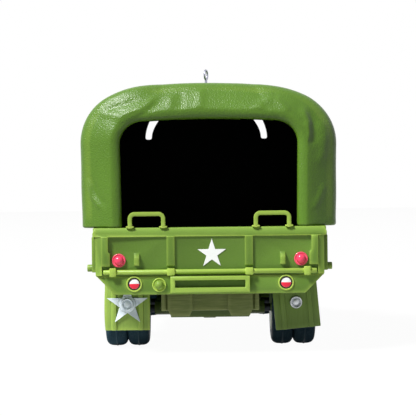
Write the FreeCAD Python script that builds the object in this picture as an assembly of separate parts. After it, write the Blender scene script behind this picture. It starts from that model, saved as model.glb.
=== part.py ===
import FreeCAD, Part
import math
import os

# A small moulded toy of a six-wheeled military cargo truck, made to hang from a wire eyelet.
# Lengths are millimetres. X points right seen from behind, Y forward, Z up, and the floor is Z = 0
# under the middle of the truck.

V = FreeCAD.Vector

# Shared values for cuts, running fits and seats
OVERRUN = 2.0
RUNNING_CLEARANCE = 0.05
SEAT_CLEARANCE = 0.02
PANEL_GAP = 0.3
FACE_TOLERANCE = 0.005

# Flats round the turned pieces: a tyre's are its tread blocks
TYRE_SIDES = 36
HUB_SIDES = 20
SMALL_SIDES = 16
ROD_SIDES = 12
WIRE_SIDES = 6
RING_SIDES = 18
DOME_STEPS = 2

# Lengths along the truck, from the tail step to the front bumper
STEP_REACH = 1.6
BED_LENGTH = 68.0
CAB_GAP = 2.9
CAB_LENGTH = 21.5
HOOD_LENGTH = 22.1
GRILLE_THICKNESS = 1.2
BUMPER_REACH = 2.7

# Wheels and axles
TYRE_RADIUS = 7.5
TYRE_BORE_RADIUS = 4.6
TYRE_SHOULDER = 1.1
TWIN_TYRE_WIDTH = 4.75
TWIN_FROM_BED_SIDE = 0.5
TWIN_GROOVE_DEPTH = 1.3
FRONT_TYRE_WIDTH = 4.6
FRONT_FROM_CAB_SIDE = 4.9
ROD_RADIUS = 0.8
HUB_DISH_DEPTH = 2.6
HUB_RIM = 0.7
HUB_FACE_RADIUS = 2.6
HUB_CAP_RADIUS = 1.3
HUB_CAP_HEIGHT = 0.9
FRONT_CAP_HEIGHT = 1.6
HUB_WEB = 1.0
TYRE_TO_FLAP = 1.5
TYRE_TO_TYRE = 4.5

# Frame, springs and axle housings
TYRE_TO_BED = 0.9
BOLSTER_HEIGHT = 2.1
RAIL_HEIGHT = 3.2
RAIL_OUTER_X = 7.7
RAIL_THICKNESS = 1.7
CROSSMEMBER_WIDTH = 2.0
HOUSING_RADIUS = 1.7
HOUSING_END_GAP = 0.8
BANJO_RADIUS = 2.7
BANJO_WIDTH = 4.4
SPRING_THICKNESS = 0.9
SPRING_HALF_LENGTH = 8.6
DROP_BAR_BOTTOM_Z = 6.6
DROP_BAR_THICKNESS = 1.6
DROP_BAR_GAP = 2.2

# Rear crossmember with its two lugs
REAR_MEMBER_SETBACK = 4.0
REAR_MEMBER_THICKNESS = 2.4
REAR_MEMBER_HALF = 9.45
REAR_MEMBER_BOTTOM_Z = 8.2
REAR_MEMBER_STRIP = 0.9
REAR_MEMBER_RELIEF = 0.35
LUG_INNER_X = 3.4
LUG_OUTER_X = 8.2
LUG_BOTTOM_Z = 7.2
LUG_SHOULDER_Z = 8.5
LUG_TAPER = 0.6
LUG_PROUD = 0.7

# Cargo bed
BED_WIDTH = 44.0
BED_WALL = 1.4
BED_FLOOR = 1.0
BED_HEIGHT = 8.5
BED_CAP_HEIGHT = 1.7
BED_CAP_PROUD = 0.35
STAKE_PROUD = 0.6
STAKE_WIDTH = 1.7
STAKE_COUNT = 7
BOLSTER_WIDTH = 2.4
BOLSTER_SIDE_GAP = 1.5
HOOK_REACH = 1.7
HOOK_RADIUS = 0.7
HOOK_FROM_TAIL = 3.4
HOOK_STEM_RISE = 2.6

# Rear panel, with the tailgate above and the sill below
PANEL_THICKNESS = 1.6
PANEL_SIDE_GAP = 0.2
SILL_BOTTOM_Z = 11.66
SILL_CHAMFER = 3.7
SILL_TOP_Z = 15.1
SILL_PROUD = 0.3
GATE_RAIL_PROUD = 0.6
GATE_RAIL_SLANT = 0.45
GATE_RAIL_SLANT_DROP = 1.0
FLANGE_WIDTH = 1.2
FLANGE_PROUD = 0.5
POST_FROM_SIDE = 2.65
POST_WIDTH = 1.28
POST_PROUD = 0.8
POST_FOOT_TOP_Z = 19.9
POST_FOOT_MARGIN = 0.4
GATE_RIB_SHARE = 0.3045
GATE_RIB_WIDTH = 1.5
TAB_SHARE = 0.632
TAB_WIDTH = 1.0
TAB_BOTTOM_Z = 17.2
TAB_TOP_Z = 19.6
TAB_PROUD = 0.9
LAMP_SHARE = 0.657
LAMP_Z = 13.7
LAMP_LIP_RADIUS = 1.4
LAMP_LIP_PROUD = 0.2
LAMP_POCKET_RADIUS = 1.2
LAMP_POCKET_DEPTH = 0.6
LAMP_RADIUS = 1.05
LAMP_RISE = 0.15
REFLECTOR_TO_POST = 0.3
REFLECTOR_Z = 18.2
REFLECTOR_RADIUS = 1.3
REFLECTOR_RIM = 0.35
REFLECTOR_RISE = 0.75
SOCKET_SHARE = 0.441
SOCKET_Z = 13.5
SOCKET_RADIUS = 1.33
SOCKET_RIM = 0.3
SOCKET_RISE = 0.9
STAR_X = 0.38
STAR_HEIGHT_RATIO = 1.809
STAR_TOP_GAP = 0.53
STAR_FOOT_GAP = 0.56
STAR_THICKNESS = 0.12

# Hinge rod along the foot of the tailgate
HINGE_Z = 15.95
HINGE_RADIUS = 0.47
HINGE_FROM_SIDE = 1.7
KNUCKLE_MARGIN = 0.22
CLAMP_FROM_SIDE = 3.5
CLAMP_WIDTH = 1.25
CLAMP_MARGIN = 0.36

# Folding tail step, moulded as a frame
STEP_SHARE = 0.3432
STEP_BOTTOM_Z = 12.0
STEP_SIDE_BAR = 0.88
STEP_LOWER_BAR = 0.95
STEP_UPPER_BAR = 0.75

# Grab loops on the tailgate
LOOP_SHARE = 0.5455
LOOP_WIDTH = 7.1
LOOP_HEIGHT = 3.0
LOOP_BAR = 0.95
LOOP_CORNER = 1.3
LOOP_FOOT_WIDTH = 1.7
LOOP_FOOT_HEIGHT = 0.5
LOOP_SETBACK = 0.1

# Mudflaps
FLAP_SETBACK = 12.0
FLAP_THICKNESS = 1.0
FLAP_PAST_TYRE = 0.1
FLAP_WIDTH = 8.9
FLAP_BOTTOM_Z = 3.9
FLAP_TOP_GAP = 1.9
FLAP_HANGER_HEIGHT = 3.4
FLAP_HANGER_THICKNESS = 0.8
FLAP_RIB_WIDTH = 0.95
FLAP_RIB_INSET = 1.3
FLAP_RIB_PROUD = 0.35
FLAP_SKEW_DEGREES = 5.0
FLAP_BOSS_RADIUS = 1.65
FLAP_BOSS_PROUD = 0.3
RIVET_Z = 9.1
RIVET_RADIUS = 1.23
RIVET_CUP_RADIUS = 0.87
RIVET_PROUD = 0.5
RIVET_CUP_DEPTH = 0.35
FLAP_STAR_Z = 9.0
FLAP_STAR_RADIUS = 4.28

# Canvas-like canopy
CANOPY_OVERHANG = 2.66
CANOPY_LEAN = 0.22
CANOPY_HEIGHT = 27.75
CANOPY_CORNER_REACH = 15.9
CANOPY_CORNER_DROP = 11.3
CANOPY_SHOULDER_RADIUS = 10.2
CANOPY_CROWN_RISE = 0.24
CANOPY_WALL = 1.5
CANOPY_REAR_WALL = 3.0
CANOPY_REAR_BEVEL = 1.8
CANOPY_FRONT_BEVEL = 1.2
CANOPY_FOOT_LEDGE = 1.2
MOUTH_SIDE_BORDER = 7.86
MOUTH_TOP_BORDER = 7.05
MOUTH_CORNER = 4.7
MOUTH_BEVEL = 0.9
SLOT_DROP = 8.15
SLOT_HEIGHT = 5.4
SLOT_INSET = 9.96
SLOT_WIDTH = 1.7
SLOT_TOP_WIDTH = 2.3
SLOT_LEAN = 1.3
SLOT_BOW = 0.35

# Wire eyelet that the toy hangs by
EYELET_WIRE_RADIUS = 0.22
EYELET_RADIUS = 1.07
EYELET_STEM = 4.55
EYELET_SHARE = 0.8294
EYELET_TURN_DEGREES = 80.0

# Cab
CAB_WIDTH = 34.0
CAB_WALL = 1.2
CAB_BELT_HEIGHT = 15.7
CAB_TOP_HEIGHT = 13.9
CAB_TOP_CORNER = 3.4
CAB_TOP_CROWN = 0.7
COWL_DEPTH = 3.6
COWL_HEIGHT = 1.5
DOOR_FROM_BACK = 4.2
DOOR_FROM_COWL = 1.1
DOOR_SILL_HEIGHT = 1.9
DOOR_HANDLE_LENGTH = 2.2
DOOR_HANDLE_HEIGHT = 0.7
DOOR_HANDLE_PROUD = 0.5
SIDE_WINDOW_SILL = 1.2
SIDE_WINDOW_DROP = 4.7
BACK_WINDOW_HALF = 5.0
BACK_WINDOW_SILL = 4.0
BACK_WINDOW_DROP = 5.3
WINDSHIELD_THICKNESS = 1.6
WINDSHIELD_FROM_SIDE = 1.4
WINDSHIELD_DROP = 3.0
WINDSHIELD_BAR = 1.1
WINDSHIELD_POST = 0.8
GLASS_THICKNESS = 0.5
SEAT_FROM_WALL = 2.2
SEAT_DEPTH = 7.4
SEAT_HEIGHT = 6.2
SEAT_BACK_THICKNESS = 2.0
SEAT_BACK_HEIGHT = 7.2
SEAT_ROUND = 0.7
STEERING_RADIUS = 2.9
STEERING_RIM_RADIUS = 0.32
STEERING_HUB_RADIUS = 0.8
STEERING_REACH = 7.4
STEERING_TILT_DEGREES = 40.0
STEERING_RISE = 15.0
STEERING_SPOKE_WIDTH = 0.6

# Hood, fenders, grille and bumper
HOOD_TYRE_GAP = 1.5
HOOD_BELOW_COWL = 0.2
HOOD_FALL = 1.6
HOOD_SHOULDER = 2.4
LOUVRE_COUNT = 5
LOUVRE_WIDTH = 0.7
LOUVRE_HEIGHT = 2.6
LOUVRE_DEPTH = 0.35
LOUVRE_RISE = 1.1
LOUVRE_REAR_MARGIN = 4.0
LOUVRE_FRONT_MARGIN = 6.5
FENDER_TYRE_GAP = 1.6
FENDER_SKIN = 1.2
FENDER_HEIGHT = 7.2
FENDER_DROP = 1.4
FENDER_NOSE_RADIUS = 5.0
ARCH_CLEARANCE = 1.7
GRILLE_FROM_HOOD_SIDE = 0.8
GRILLE_FOOT = 1.2
GRILLE_BELOW_HOOD = 1.0
GRILLE_CORNER = 2.0
GRILLE_BORDER = 1.3
GRILLE_SLOTS = 9
GRILLE_BAR_SHARE = 0.45
BUMPER_WIDTH = 41.0
BUMPER_HEIGHT = 3.4
BUMPER_DROP = 0.7
BUMPER_CHANNEL = 1.1
BUMPER_LIP = 0.8
SHACKLE_WIDTH = 2.6
SHACKLE_HEIGHT = 1.6
SHACKLE_BAR = 0.6
SHACKLE_CORNER = 0.9
HEADLAMP_FROM_SIDE = 4.9
HEADLAMP_RADIUS = 2.1
HEADLAMP_RIM = 1.0
HEADLAMP_RISE = 0.6

# Side gear
BOARD_THICKNESS = 0.9
BOARD_DROP = 1.4
BOARD_OVERHANG = 1.5
BOARD_WIDTH = 6.0
BOARD_BRACKET_WIDTH = 1.6
TANK_GAP = 2.9
TANK_TO_CAB = 5.4
TANK_DEPTH = 8.0
TANK_HEIGHT = 6.2
TANK_STANDOFF = 1.4
TANK_ROUND = 1.2
BOX_LENGTH_SHARE = 0.765
BOX_DEPTH = 7.2
BOX_HEIGHT = 5.4
BOX_LID = 0.9
BOX_LID_PROUD = 0.3
STACK_RADIUS = 0.8
STACK_MUFFLER_RADIUS = 1.5
STACK_AHEAD_OF_CAB = 2.3
STACK_FROM_CAB_SIDE = 0.6
STACK_HEIGHT = 20.5
STACK_MUFFLER_START = 3.2
STACK_MUFFLER_LENGTH = 8.6
STACK_CONE = 0.9

# Places worked out from the sizes above, along the truck
OVERALL_LENGTH = (STEP_REACH + BED_LENGTH + CAB_GAP + CAB_LENGTH + HOOD_LENGTH
                  + GRILLE_THICKNESS + BUMPER_REACH)
TAIL_Y = -OVERALL_LENGTH / 2 + STEP_REACH
BED_FRONT_Y = TAIL_Y + BED_LENGTH
EYELET_Y = TAIL_Y + BED_LENGTH * EYELET_SHARE
CAB_BACK_Y = BED_FRONT_Y + CAB_GAP
CAB_FRONT_Y = CAB_BACK_Y + CAB_LENGTH
HOOD_FRONT_Y = CAB_FRONT_Y + HOOD_LENGTH
REAR_MEMBER_Y = TAIL_Y + REAR_MEMBER_SETBACK
RAIL_REAR_Y = REAR_MEMBER_Y + REAR_MEMBER_THICKNESS
GRILLE_FRONT_Y = HOOD_FRONT_Y + GRILLE_THICKNESS
BUMPER_FRONT_Y = GRILLE_FRONT_Y + BUMPER_REACH
REAR_AXLE_Y = TAIL_Y + FLAP_SETBACK + FLAP_THICKNESS + TYRE_TO_FLAP + TYRE_RADIUS
MID_AXLE_Y = REAR_AXLE_Y + TYRE_RADIUS * 2 + TYRE_TO_TYRE
FRONT_AXLE_Y = (CAB_FRONT_Y + GRILLE_FRONT_Y) / 2
DOOR_LENGTH = CAB_LENGTH - COWL_DEPTH - DOOR_FROM_BACK - DOOR_FROM_COWL
TANK_Y = MID_AXLE_Y + TYRE_RADIUS + TANK_GAP
TANK_LENGTH = CAB_BACK_Y - TANK_TO_CAB - TANK_Y
BOX_LENGTH = TANK_LENGTH * BOX_LENGTH_SHARE

# Heights worked out from the sizes above
AXLE_Z = TYRE_RADIUS
BED_BOTTOM_Z = TYRE_RADIUS * 2 + TYRE_TO_BED
BED_TOP_Z = BED_BOTTOM_Z + BED_HEIGHT
RAIL_TOP_Z = BED_BOTTOM_Z - BOLSTER_HEIGHT
RAIL_BOTTOM_Z = RAIL_TOP_Z - RAIL_HEIGHT
RAIL_INNER_X = RAIL_OUTER_X - RAIL_THICKNESS
CANOPY_TOP_Z = BED_TOP_Z + CANOPY_HEIGHT
CAB_BELT_Z = RAIL_TOP_Z + CAB_BELT_HEIGHT
COWL_TOP_Z = CAB_BELT_Z + COWL_HEIGHT
CAB_TOP_Z = CAB_BELT_Z + CAB_TOP_HEIGHT
FENDER_TOP_Z = RAIL_TOP_Z + FENDER_HEIGHT
GATE_RAIL_BOTTOM_Z = BED_TOP_Z - BED_CAP_HEIGHT
STAR_HEIGHT = GATE_RAIL_BOTTOM_Z - STAR_TOP_GAP - HINGE_Z - HINGE_RADIUS - STAR_FOOT_GAP
STAR_RADIUS = STAR_HEIGHT / STAR_HEIGHT_RATIO
STAR_Z = GATE_RAIL_BOTTOM_Z - STAR_TOP_GAP - STAR_RADIUS
MOUTH_HEIGHT = CANOPY_HEIGHT - MOUTH_TOP_BORDER
SLOT_BOTTOM_Z = CANOPY_TOP_Z - SLOT_DROP
SIDE_WINDOW_HEIGHT = CAB_TOP_HEIGHT - SIDE_WINDOW_SILL - SIDE_WINDOW_DROP
BACK_WINDOW_HEIGHT = CAB_TOP_HEIGHT - BACK_WINDOW_SILL - BACK_WINDOW_DROP
WINDSHIELD_HEIGHT = CAB_TOP_HEIGHT - COWL_HEIGHT - WINDSHIELD_DROP
HOOD_REAR_HEIGHT = CAB_BELT_HEIGHT + COWL_HEIGHT - HOOD_BELOW_COWL
HOOD_FRONT_HEIGHT = HOOD_REAR_HEIGHT - HOOD_FALL
GRILLE_HEIGHT = HOOD_FRONT_HEIGHT - GRILLE_FOOT - GRILLE_BELOW_HOOD

# Widths worked out from the sizes above
BED_HALF = BED_WIDTH / 2
CAB_HALF = CAB_WIDTH / 2
TWIN_INNER_X = BED_HALF - TWIN_FROM_BED_SIDE - TWIN_TYRE_WIDTH * 2
FRONT_INNER_X = CAB_HALF - FRONT_FROM_CAB_SIDE
FLAP_INNER_X = TWIN_INNER_X - FLAP_PAST_TYRE
PANEL_HALF = BED_HALF - PANEL_SIDE_GAP
POST_INNER_X = BED_HALF - POST_FROM_SIDE
HINGE_HALF_LENGTH = BED_HALF - HINGE_FROM_SIDE
CLAMP_X = BED_HALF - CLAMP_FROM_SIDE
GATE_RIB_INNER_X = BED_HALF * GATE_RIB_SHARE
TAB_X = BED_HALF * TAB_SHARE
LAMP_X = BED_HALF * LAMP_SHARE
REFLECTOR_X = POST_INNER_X - POST_FOOT_MARGIN - REFLECTOR_TO_POST - REFLECTOR_RADIUS
SOCKET_X = BED_HALF * SOCKET_SHARE
STEP_HALF = BED_HALF * STEP_SHARE
LOOP_X = BED_HALF * LOOP_SHARE
CANOPY_HALF = BED_HALF + CANOPY_OVERHANG
MOUTH_HALF = CANOPY_HALF - MOUTH_SIDE_BORDER
SLOT_OUTER_X = CANOPY_HALF - SLOT_INSET
SEAT_HALF = CAB_HALF - CAB_WALL - SEAT_FROM_WALL
STEERING_X = (CAB_WALL - CAB_HALF) / 2
WINDSHIELD_HALF = CAB_HALF - WINDSHIELD_FROM_SIDE
STACK_X = CAB_HALF - STACK_FROM_CAB_SIDE
HOOD_HALF = FRONT_INNER_X - HOOD_TYRE_GAP
GRILLE_HALF = HOOD_HALF - GRILLE_FROM_HOOD_SIDE
FENDER_OUTER_X = FRONT_INNER_X + FRONT_TYRE_WIDTH + FENDER_TYRE_GAP + FENDER_SKIN
HEADLAMP_X = FENDER_OUTER_X - HEADLAMP_FROM_SIDE


def block(x0, x1, y0, y1, z0, z1):
    """A box between two places along each axis."""
    return Part.makeBox(x1 - x0, y1 - y0, z1 - z0, V(x0, y0, z0))


def both_sides(shape):
    """A shape and its mirror image across the middle of the truck."""
    return [shape, mirrored(shape)]


def mirrored(shape):
    """A shape's mirror image across the middle of the truck."""
    return shape.mirror(V(0, 0, 0), V(1, 0, 0))


def joined(shapes):
    """One solid made of shapes that meet or cross."""
    return shapes[0].multiFuse(shapes[1:]).removeSplitter()


def prism(points, travel):
    """A closed outline of points, carried along a vector."""
    corners = [V(*point) for point in points]
    return Part.Face(Part.makePolygon(corners + corners[:1])).extrude(V(*travel))


def outline_prism(edges, travel):
    """A closed outline of edges, carried along a vector."""
    wire = Part.Wire(Part.sortEdges(edges)[0])
    return Part.Face(wire).extrude(V(*travel))


def line(start, end):
    """A straight edge."""
    return Part.makeLine(V(*start), V(*end))


def arc(start, middle, end):
    """A round edge through three points."""
    return Part.Arc(V(*start), V(*middle), V(*end)).toShape()


def flatted(profile, sides, centre, axis, across):
    """A turned shape cut with flat sides: an outline of places along the axis and radii, all round it.

    Each radius is measured to the middle of a flat, and the first flat faces across.
    """
    middle = V(*centre)
    along = V(*axis)
    first = V(*across)
    second = along.cross(first)
    reach = 1 / math.cos(math.pi / sides)
    rings = []
    for place, radius in profile:
        ring = []
        for i in range(sides):
            angle = math.pi * (i * 2 + 1) / sides
            out = first * math.cos(angle) + second * math.sin(angle)
            ring.append(middle + along * place + out * (radius * reach))
        rings.append(ring)
    faces = []
    for i, ring in enumerate(rings):
        other = rings[i - 1]
        radius = profile[i][1]
        other_radius = profile[i - 1][1]
        for j in range(sides if radius or other_radius else 0):
            corners = [ring[j - 1], ring[j]] if radius else [ring[j]]
            corners += [other[j], other[j - 1]] if other_radius else [other[j]]
            faces.append(Part.Face(Part.makePolygon(corners + corners[:1])))
    solid = Part.Solid(Part.Shell(faces))
    if solid.Volume < 0:
        solid.reverse()
    return solid.removeSplitter()


def turned_on_axle(profile, axle_y, sides):
    """An outline of places along X and radii, all round an axle, with a flat underneath."""
    return flatted(profile, sides, (0, axle_y, AXLE_Z), (1, 0, 0), (0, 0, -1))


def button(radius, x0, x1, across_y, z, sides):
    """A flat-sided round bar along X."""
    return flatted([(x0, 0), (x0, radius), (x1, radius), (x1, 0)], sides, (0, across_y, z),
                   (1, 0, 0), (0, 0, -1))


def rod_x(radius, x0, x1, y, z):
    """A round bar along X."""
    return Part.makeCylinder(radius, x1 - x0, V(x0, y, z), V(1, 0, 0))


def rod_y(radius, y0, y1, x, z):
    """A flat-sided round bar along Y."""
    return flatted([(y0, 0), (y0, radius), (y1, radius), (y1, 0)], SMALL_SIDES, (x, 0, z),
                   (0, 1, 0), (0, 0, 1))


def dome(radius, rim, rise, x, y, z, direction):
    """A round button with a straight rim and a domed face, standing off a face at y."""
    ball = (radius ** 2 + rise ** 2) / (rise * 2)
    profile = [(0, 0), (0, radius), (rim, radius)]
    for i in range(1, DOME_STEPS + 1):
        reach = radius * math.cos(math.pi / 2 * i / (DOME_STEPS + 1))
        height = rim + rise - (ball - math.sqrt(ball ** 2 - reach ** 2))
        profile.append((height, reach))
    profile.append((rim + rise, 0))
    return flatted(profile, SMALL_SIDES, (x, y, z), (0, direction, 0), (0, 0, 1))


def star(radius, x, y, z, thickness):
    """A five-pointed star with its point up, standing off a face at y towards the rear."""
    points_on_star = 5
    waist = math.cos(math.pi * 2 / points_on_star) / math.cos(math.pi / points_on_star)
    corners = []
    for i in range(points_on_star * 2):
        angle = math.pi / 2 + i * math.pi / points_on_star
        reach = radius * waist if i % 2 else radius
        corners.append((x + reach * math.cos(angle), y, z + reach * math.sin(angle)))
    return prism(corners, (0, -thickness, 0))


def edges_at_y(solid, y, above_z):
    """The edges of a solid that lie in the plane at y, above a height."""
    near = FACE_TOLERANCE
    found = []
    for edge in solid.Edges:
        bounds = edge.BoundBox
        if abs(bounds.YMin - y) < near and abs(bounds.YMax - y) < near and bounds.ZMax > above_z + near:
            found.append(edge)
    return found


def front_tyre(axle_y):
    """The right front tyre."""
    inner = FRONT_INNER_X
    outer = FRONT_INNER_X + FRONT_TYRE_WIDTH
    profile = [
        (inner, TYRE_BORE_RADIUS),
        (inner, TYRE_RADIUS - TYRE_SHOULDER),
        (inner + TYRE_SHOULDER, TYRE_RADIUS),
        (outer - TYRE_SHOULDER, TYRE_RADIUS),
        (outer, TYRE_RADIUS - TYRE_SHOULDER),
        (outer, TYRE_BORE_RADIUS),
    ]
    return turned_on_axle(profile, axle_y, TYRE_SIDES)


def twin_tyres(axle_y):
    """The right twin tyres, moulded as one ring with a groove between the two treads."""
    inner = TWIN_INNER_X
    middle = TWIN_INNER_X + TWIN_TYRE_WIDTH
    outer = TWIN_INNER_X + TWIN_TYRE_WIDTH * 2
    shoulder = TYRE_RADIUS - TYRE_SHOULDER
    profile = [
        (inner, TYRE_BORE_RADIUS),
        (inner, shoulder),
        (inner + TYRE_SHOULDER, TYRE_RADIUS),
        (middle - TYRE_SHOULDER, TYRE_RADIUS),
        (middle, TYRE_RADIUS - TWIN_GROOVE_DEPTH),
        (middle + TYRE_SHOULDER, TYRE_RADIUS),
        (outer - TYRE_SHOULDER, TYRE_RADIUS),
        (outer, shoulder),
        (outer, TYRE_BORE_RADIUS),
    ]
    return turned_on_axle(profile, axle_y, TYRE_SIDES)


def hub(axle_y, inner, outer, dish_depth, cap_height):
    """A right-hand hub: a rim that fills the tyre, a dished face and a round cap over the rod's end."""
    rim = (TYRE_BORE_RADIUS - SEAT_CLEARANCE) * math.cos(math.pi / HUB_SIDES)
    face_x = outer - dish_depth
    bore = ROD_RADIUS + SEAT_CLEARANCE
    profile = [
        (inner, bore),
        (inner, rim),
        (outer, rim),
        (outer, rim - HUB_RIM),
        (face_x, HUB_FACE_RADIUS),
        (face_x, HUB_CAP_RADIUS),
        (face_x + cap_height, HUB_CAP_RADIUS),
        (face_x + cap_height, 0),
        (face_x, 0),
        (face_x, bore),
    ]
    return turned_on_axle(profile, axle_y, HUB_SIDES)


def wheel_nodes():
    """Rods, tyres and hubs of the three axles."""
    nodes = {}
    axles = {"front": FRONT_AXLE_Y, "mid": MID_AXLE_Y, "rear": REAR_AXLE_Y}
    for name, axle_y in axles.items():
        if name == "front":
            tyre_name = "front_tyre"
            tyre = front_tyre(axle_y)
            inner = FRONT_INNER_X
            outer = FRONT_INNER_X + FRONT_TYRE_WIDTH
            dish = HUB_WEB
            cap = FRONT_CAP_HEIGHT
        else:
            tyre_name = name + "_twin_tyres"
            tyre = twin_tyres(axle_y)
            inner = TWIN_INNER_X
            outer = TWIN_INNER_X + TWIN_TYRE_WIDTH * 2
            dish = HUB_DISH_DEPTH
            cap = HUB_CAP_HEIGHT
        wheel_hub = hub(axle_y, inner, outer, dish, cap)
        nodes[tyre_name + "_right"] = tyre
        nodes[tyre_name + "_left"] = mirrored(tyre)
        nodes[name + "_hub_right"] = wheel_hub
        nodes[name + "_hub_left"] = mirrored(wheel_hub)
        rod_end = outer - dish - SEAT_CLEARANCE
        nodes[name + "_axle_rod"] = rod_x(ROD_RADIUS, -rod_end, rod_end, axle_y, AXLE_Z)
    return nodes


def axle_housing(axle_y, end_x):
    """A tube around a rod, with the round middle of a driven axle."""
    step = BANJO_WIDTH / 2
    outline = [
        (-end_x, 0),
        (-end_x, HOUSING_RADIUS),
        (-step, HOUSING_RADIUS),
        (-step / 2, BANJO_RADIUS),
        (step / 2, BANJO_RADIUS),
        (step, HOUSING_RADIUS),
        (end_x, HOUSING_RADIUS),
        (end_x, 0),
    ]
    housing = turned_on_axle(outline, axle_y, ROD_SIDES)
    bore = rod_x(ROD_RADIUS + RUNNING_CLEARANCE, -end_x - OVERRUN, end_x + OVERRUN, axle_y, AXLE_Z)
    return housing.cut(bore)


def spring_band(y0, y1, end_z, middle_z):
    """A leaf spring over or under a rail, seen from the side as a band between two arcs."""
    middle_y = (y0 + y1) / 2
    x = RAIL_INNER_X
    top_end = end_z + SPRING_THICKNESS
    top_middle = middle_z + SPRING_THICKNESS
    edges = [
        arc((x, y0, end_z), (x, middle_y, middle_z), (x, y1, end_z)),
        line((x, y1, end_z), (x, y1, top_end)),
        arc((x, y1, top_end), (x, middle_y, top_middle), (x, y0, top_end)),
        line((x, y0, top_end), (x, y0, end_z)),
    ]
    return outline_prism(edges, (RAIL_THICKNESS, 0, 0))


def running_gear_nodes():
    """Axle housings and leaf springs."""
    housing_top = AXLE_Z + HOUSING_RADIUS
    rail_seat = RAIL_BOTTOM_Z - SPRING_THICKNESS
    twin_end = TWIN_INNER_X - HOUSING_END_GAP
    front_end = FRONT_INNER_X - HOUSING_END_GAP
    rear_spring = spring_band(REAR_AXLE_Y, MID_AXLE_Y, housing_top, rail_seat)
    spring_y0 = FRONT_AXLE_Y - SPRING_HALF_LENGTH
    spring_y1 = FRONT_AXLE_Y + SPRING_HALF_LENGTH
    front_spring = spring_band(spring_y0, spring_y1, rail_seat, housing_top)
    return {
        "front_axle_housing": axle_housing(FRONT_AXLE_Y, front_end),
        "mid_axle_housing": axle_housing(MID_AXLE_Y, twin_end),
        "rear_axle_housing": axle_housing(REAR_AXLE_Y, twin_end),
        "rear_leaf_springs": Part.makeCompound(both_sides(rear_spring)),
        "front_leaf_springs": Part.makeCompound(both_sides(front_spring)),
    }


def chassis_frame():
    """Two rails, the crossmembers between them and the low bar behind the rear crossmember."""
    rail = block(RAIL_INNER_X, RAIL_OUTER_X, RAIL_REAR_Y, GRILLE_FRONT_Y, RAIL_BOTTOM_Z, RAIL_TOP_Z)
    shapes = both_sides(rail)
    places = [
        (MID_AXLE_Y + REAR_AXLE_Y) / 2,
        BED_FRONT_Y - BED_WALL,
        CAB_FRONT_Y - CROSSMEMBER_WIDTH,
        GRILLE_FRONT_Y - CROSSMEMBER_WIDTH / 2,
    ]
    for y in places:
        y0 = y - CROSSMEMBER_WIDTH / 2
        y1 = y + CROSSMEMBER_WIDTH / 2
        shapes.append(block(-RAIL_OUTER_X, RAIL_OUTER_X, y0, y1, RAIL_BOTTOM_Z, RAIL_TOP_Z))
    bar_y = RAIL_REAR_Y + DROP_BAR_GAP
    bar_end = bar_y + DROP_BAR_THICKNESS
    shapes.append(block(-RAIL_OUTER_X, RAIL_OUTER_X, bar_y, bar_end, DROP_BAR_BOTTOM_Z, RAIL_TOP_Z))
    return joined(shapes)


def rear_crossmember():
    """The block under the sill, with two lugs, a recessed middle and a strip at each end."""
    top = RAIL_TOP_Z
    y0 = REAR_MEMBER_Y
    y1 = RAIL_REAR_Y
    body = block(-REAR_MEMBER_HALF, REAR_MEMBER_HALF, y0, y1, REAR_MEMBER_BOTTOM_Z, top)
    strip_x = REAR_MEMBER_HALF - REAR_MEMBER_STRIP
    relief = block(LUG_OUTER_X, strip_x, y0 - OVERRUN, y0 + REAR_MEMBER_RELIEF,
                   REAR_MEMBER_BOTTOM_Z - OVERRUN, top + OVERRUN)
    middle = block(-LUG_INNER_X, LUG_INNER_X, y0 - OVERRUN, y0 + REAR_MEMBER_RELIEF,
                   REAR_MEMBER_BOTTOM_Z - OVERRUN, top + OVERRUN)
    body = body.cut(Part.makeCompound(both_sides(relief) + [middle]))
    lug = prism(
        [
            (LUG_INNER_X, y0 - LUG_PROUD, top),
            (LUG_OUTER_X, y0 - LUG_PROUD, top),
            (LUG_OUTER_X, y0 - LUG_PROUD, LUG_SHOULDER_Z),
            (LUG_OUTER_X - LUG_TAPER, y0 - LUG_PROUD, LUG_BOTTOM_Z),
            (LUG_INNER_X + LUG_TAPER, y0 - LUG_PROUD, LUG_BOTTOM_Z),
            (LUG_INNER_X, y0 - LUG_PROUD, LUG_SHOULDER_Z),
        ],
        (0, y1 - y0 + LUG_PROUD, 0),
    )
    return joined([body] + both_sides(lug))


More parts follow.
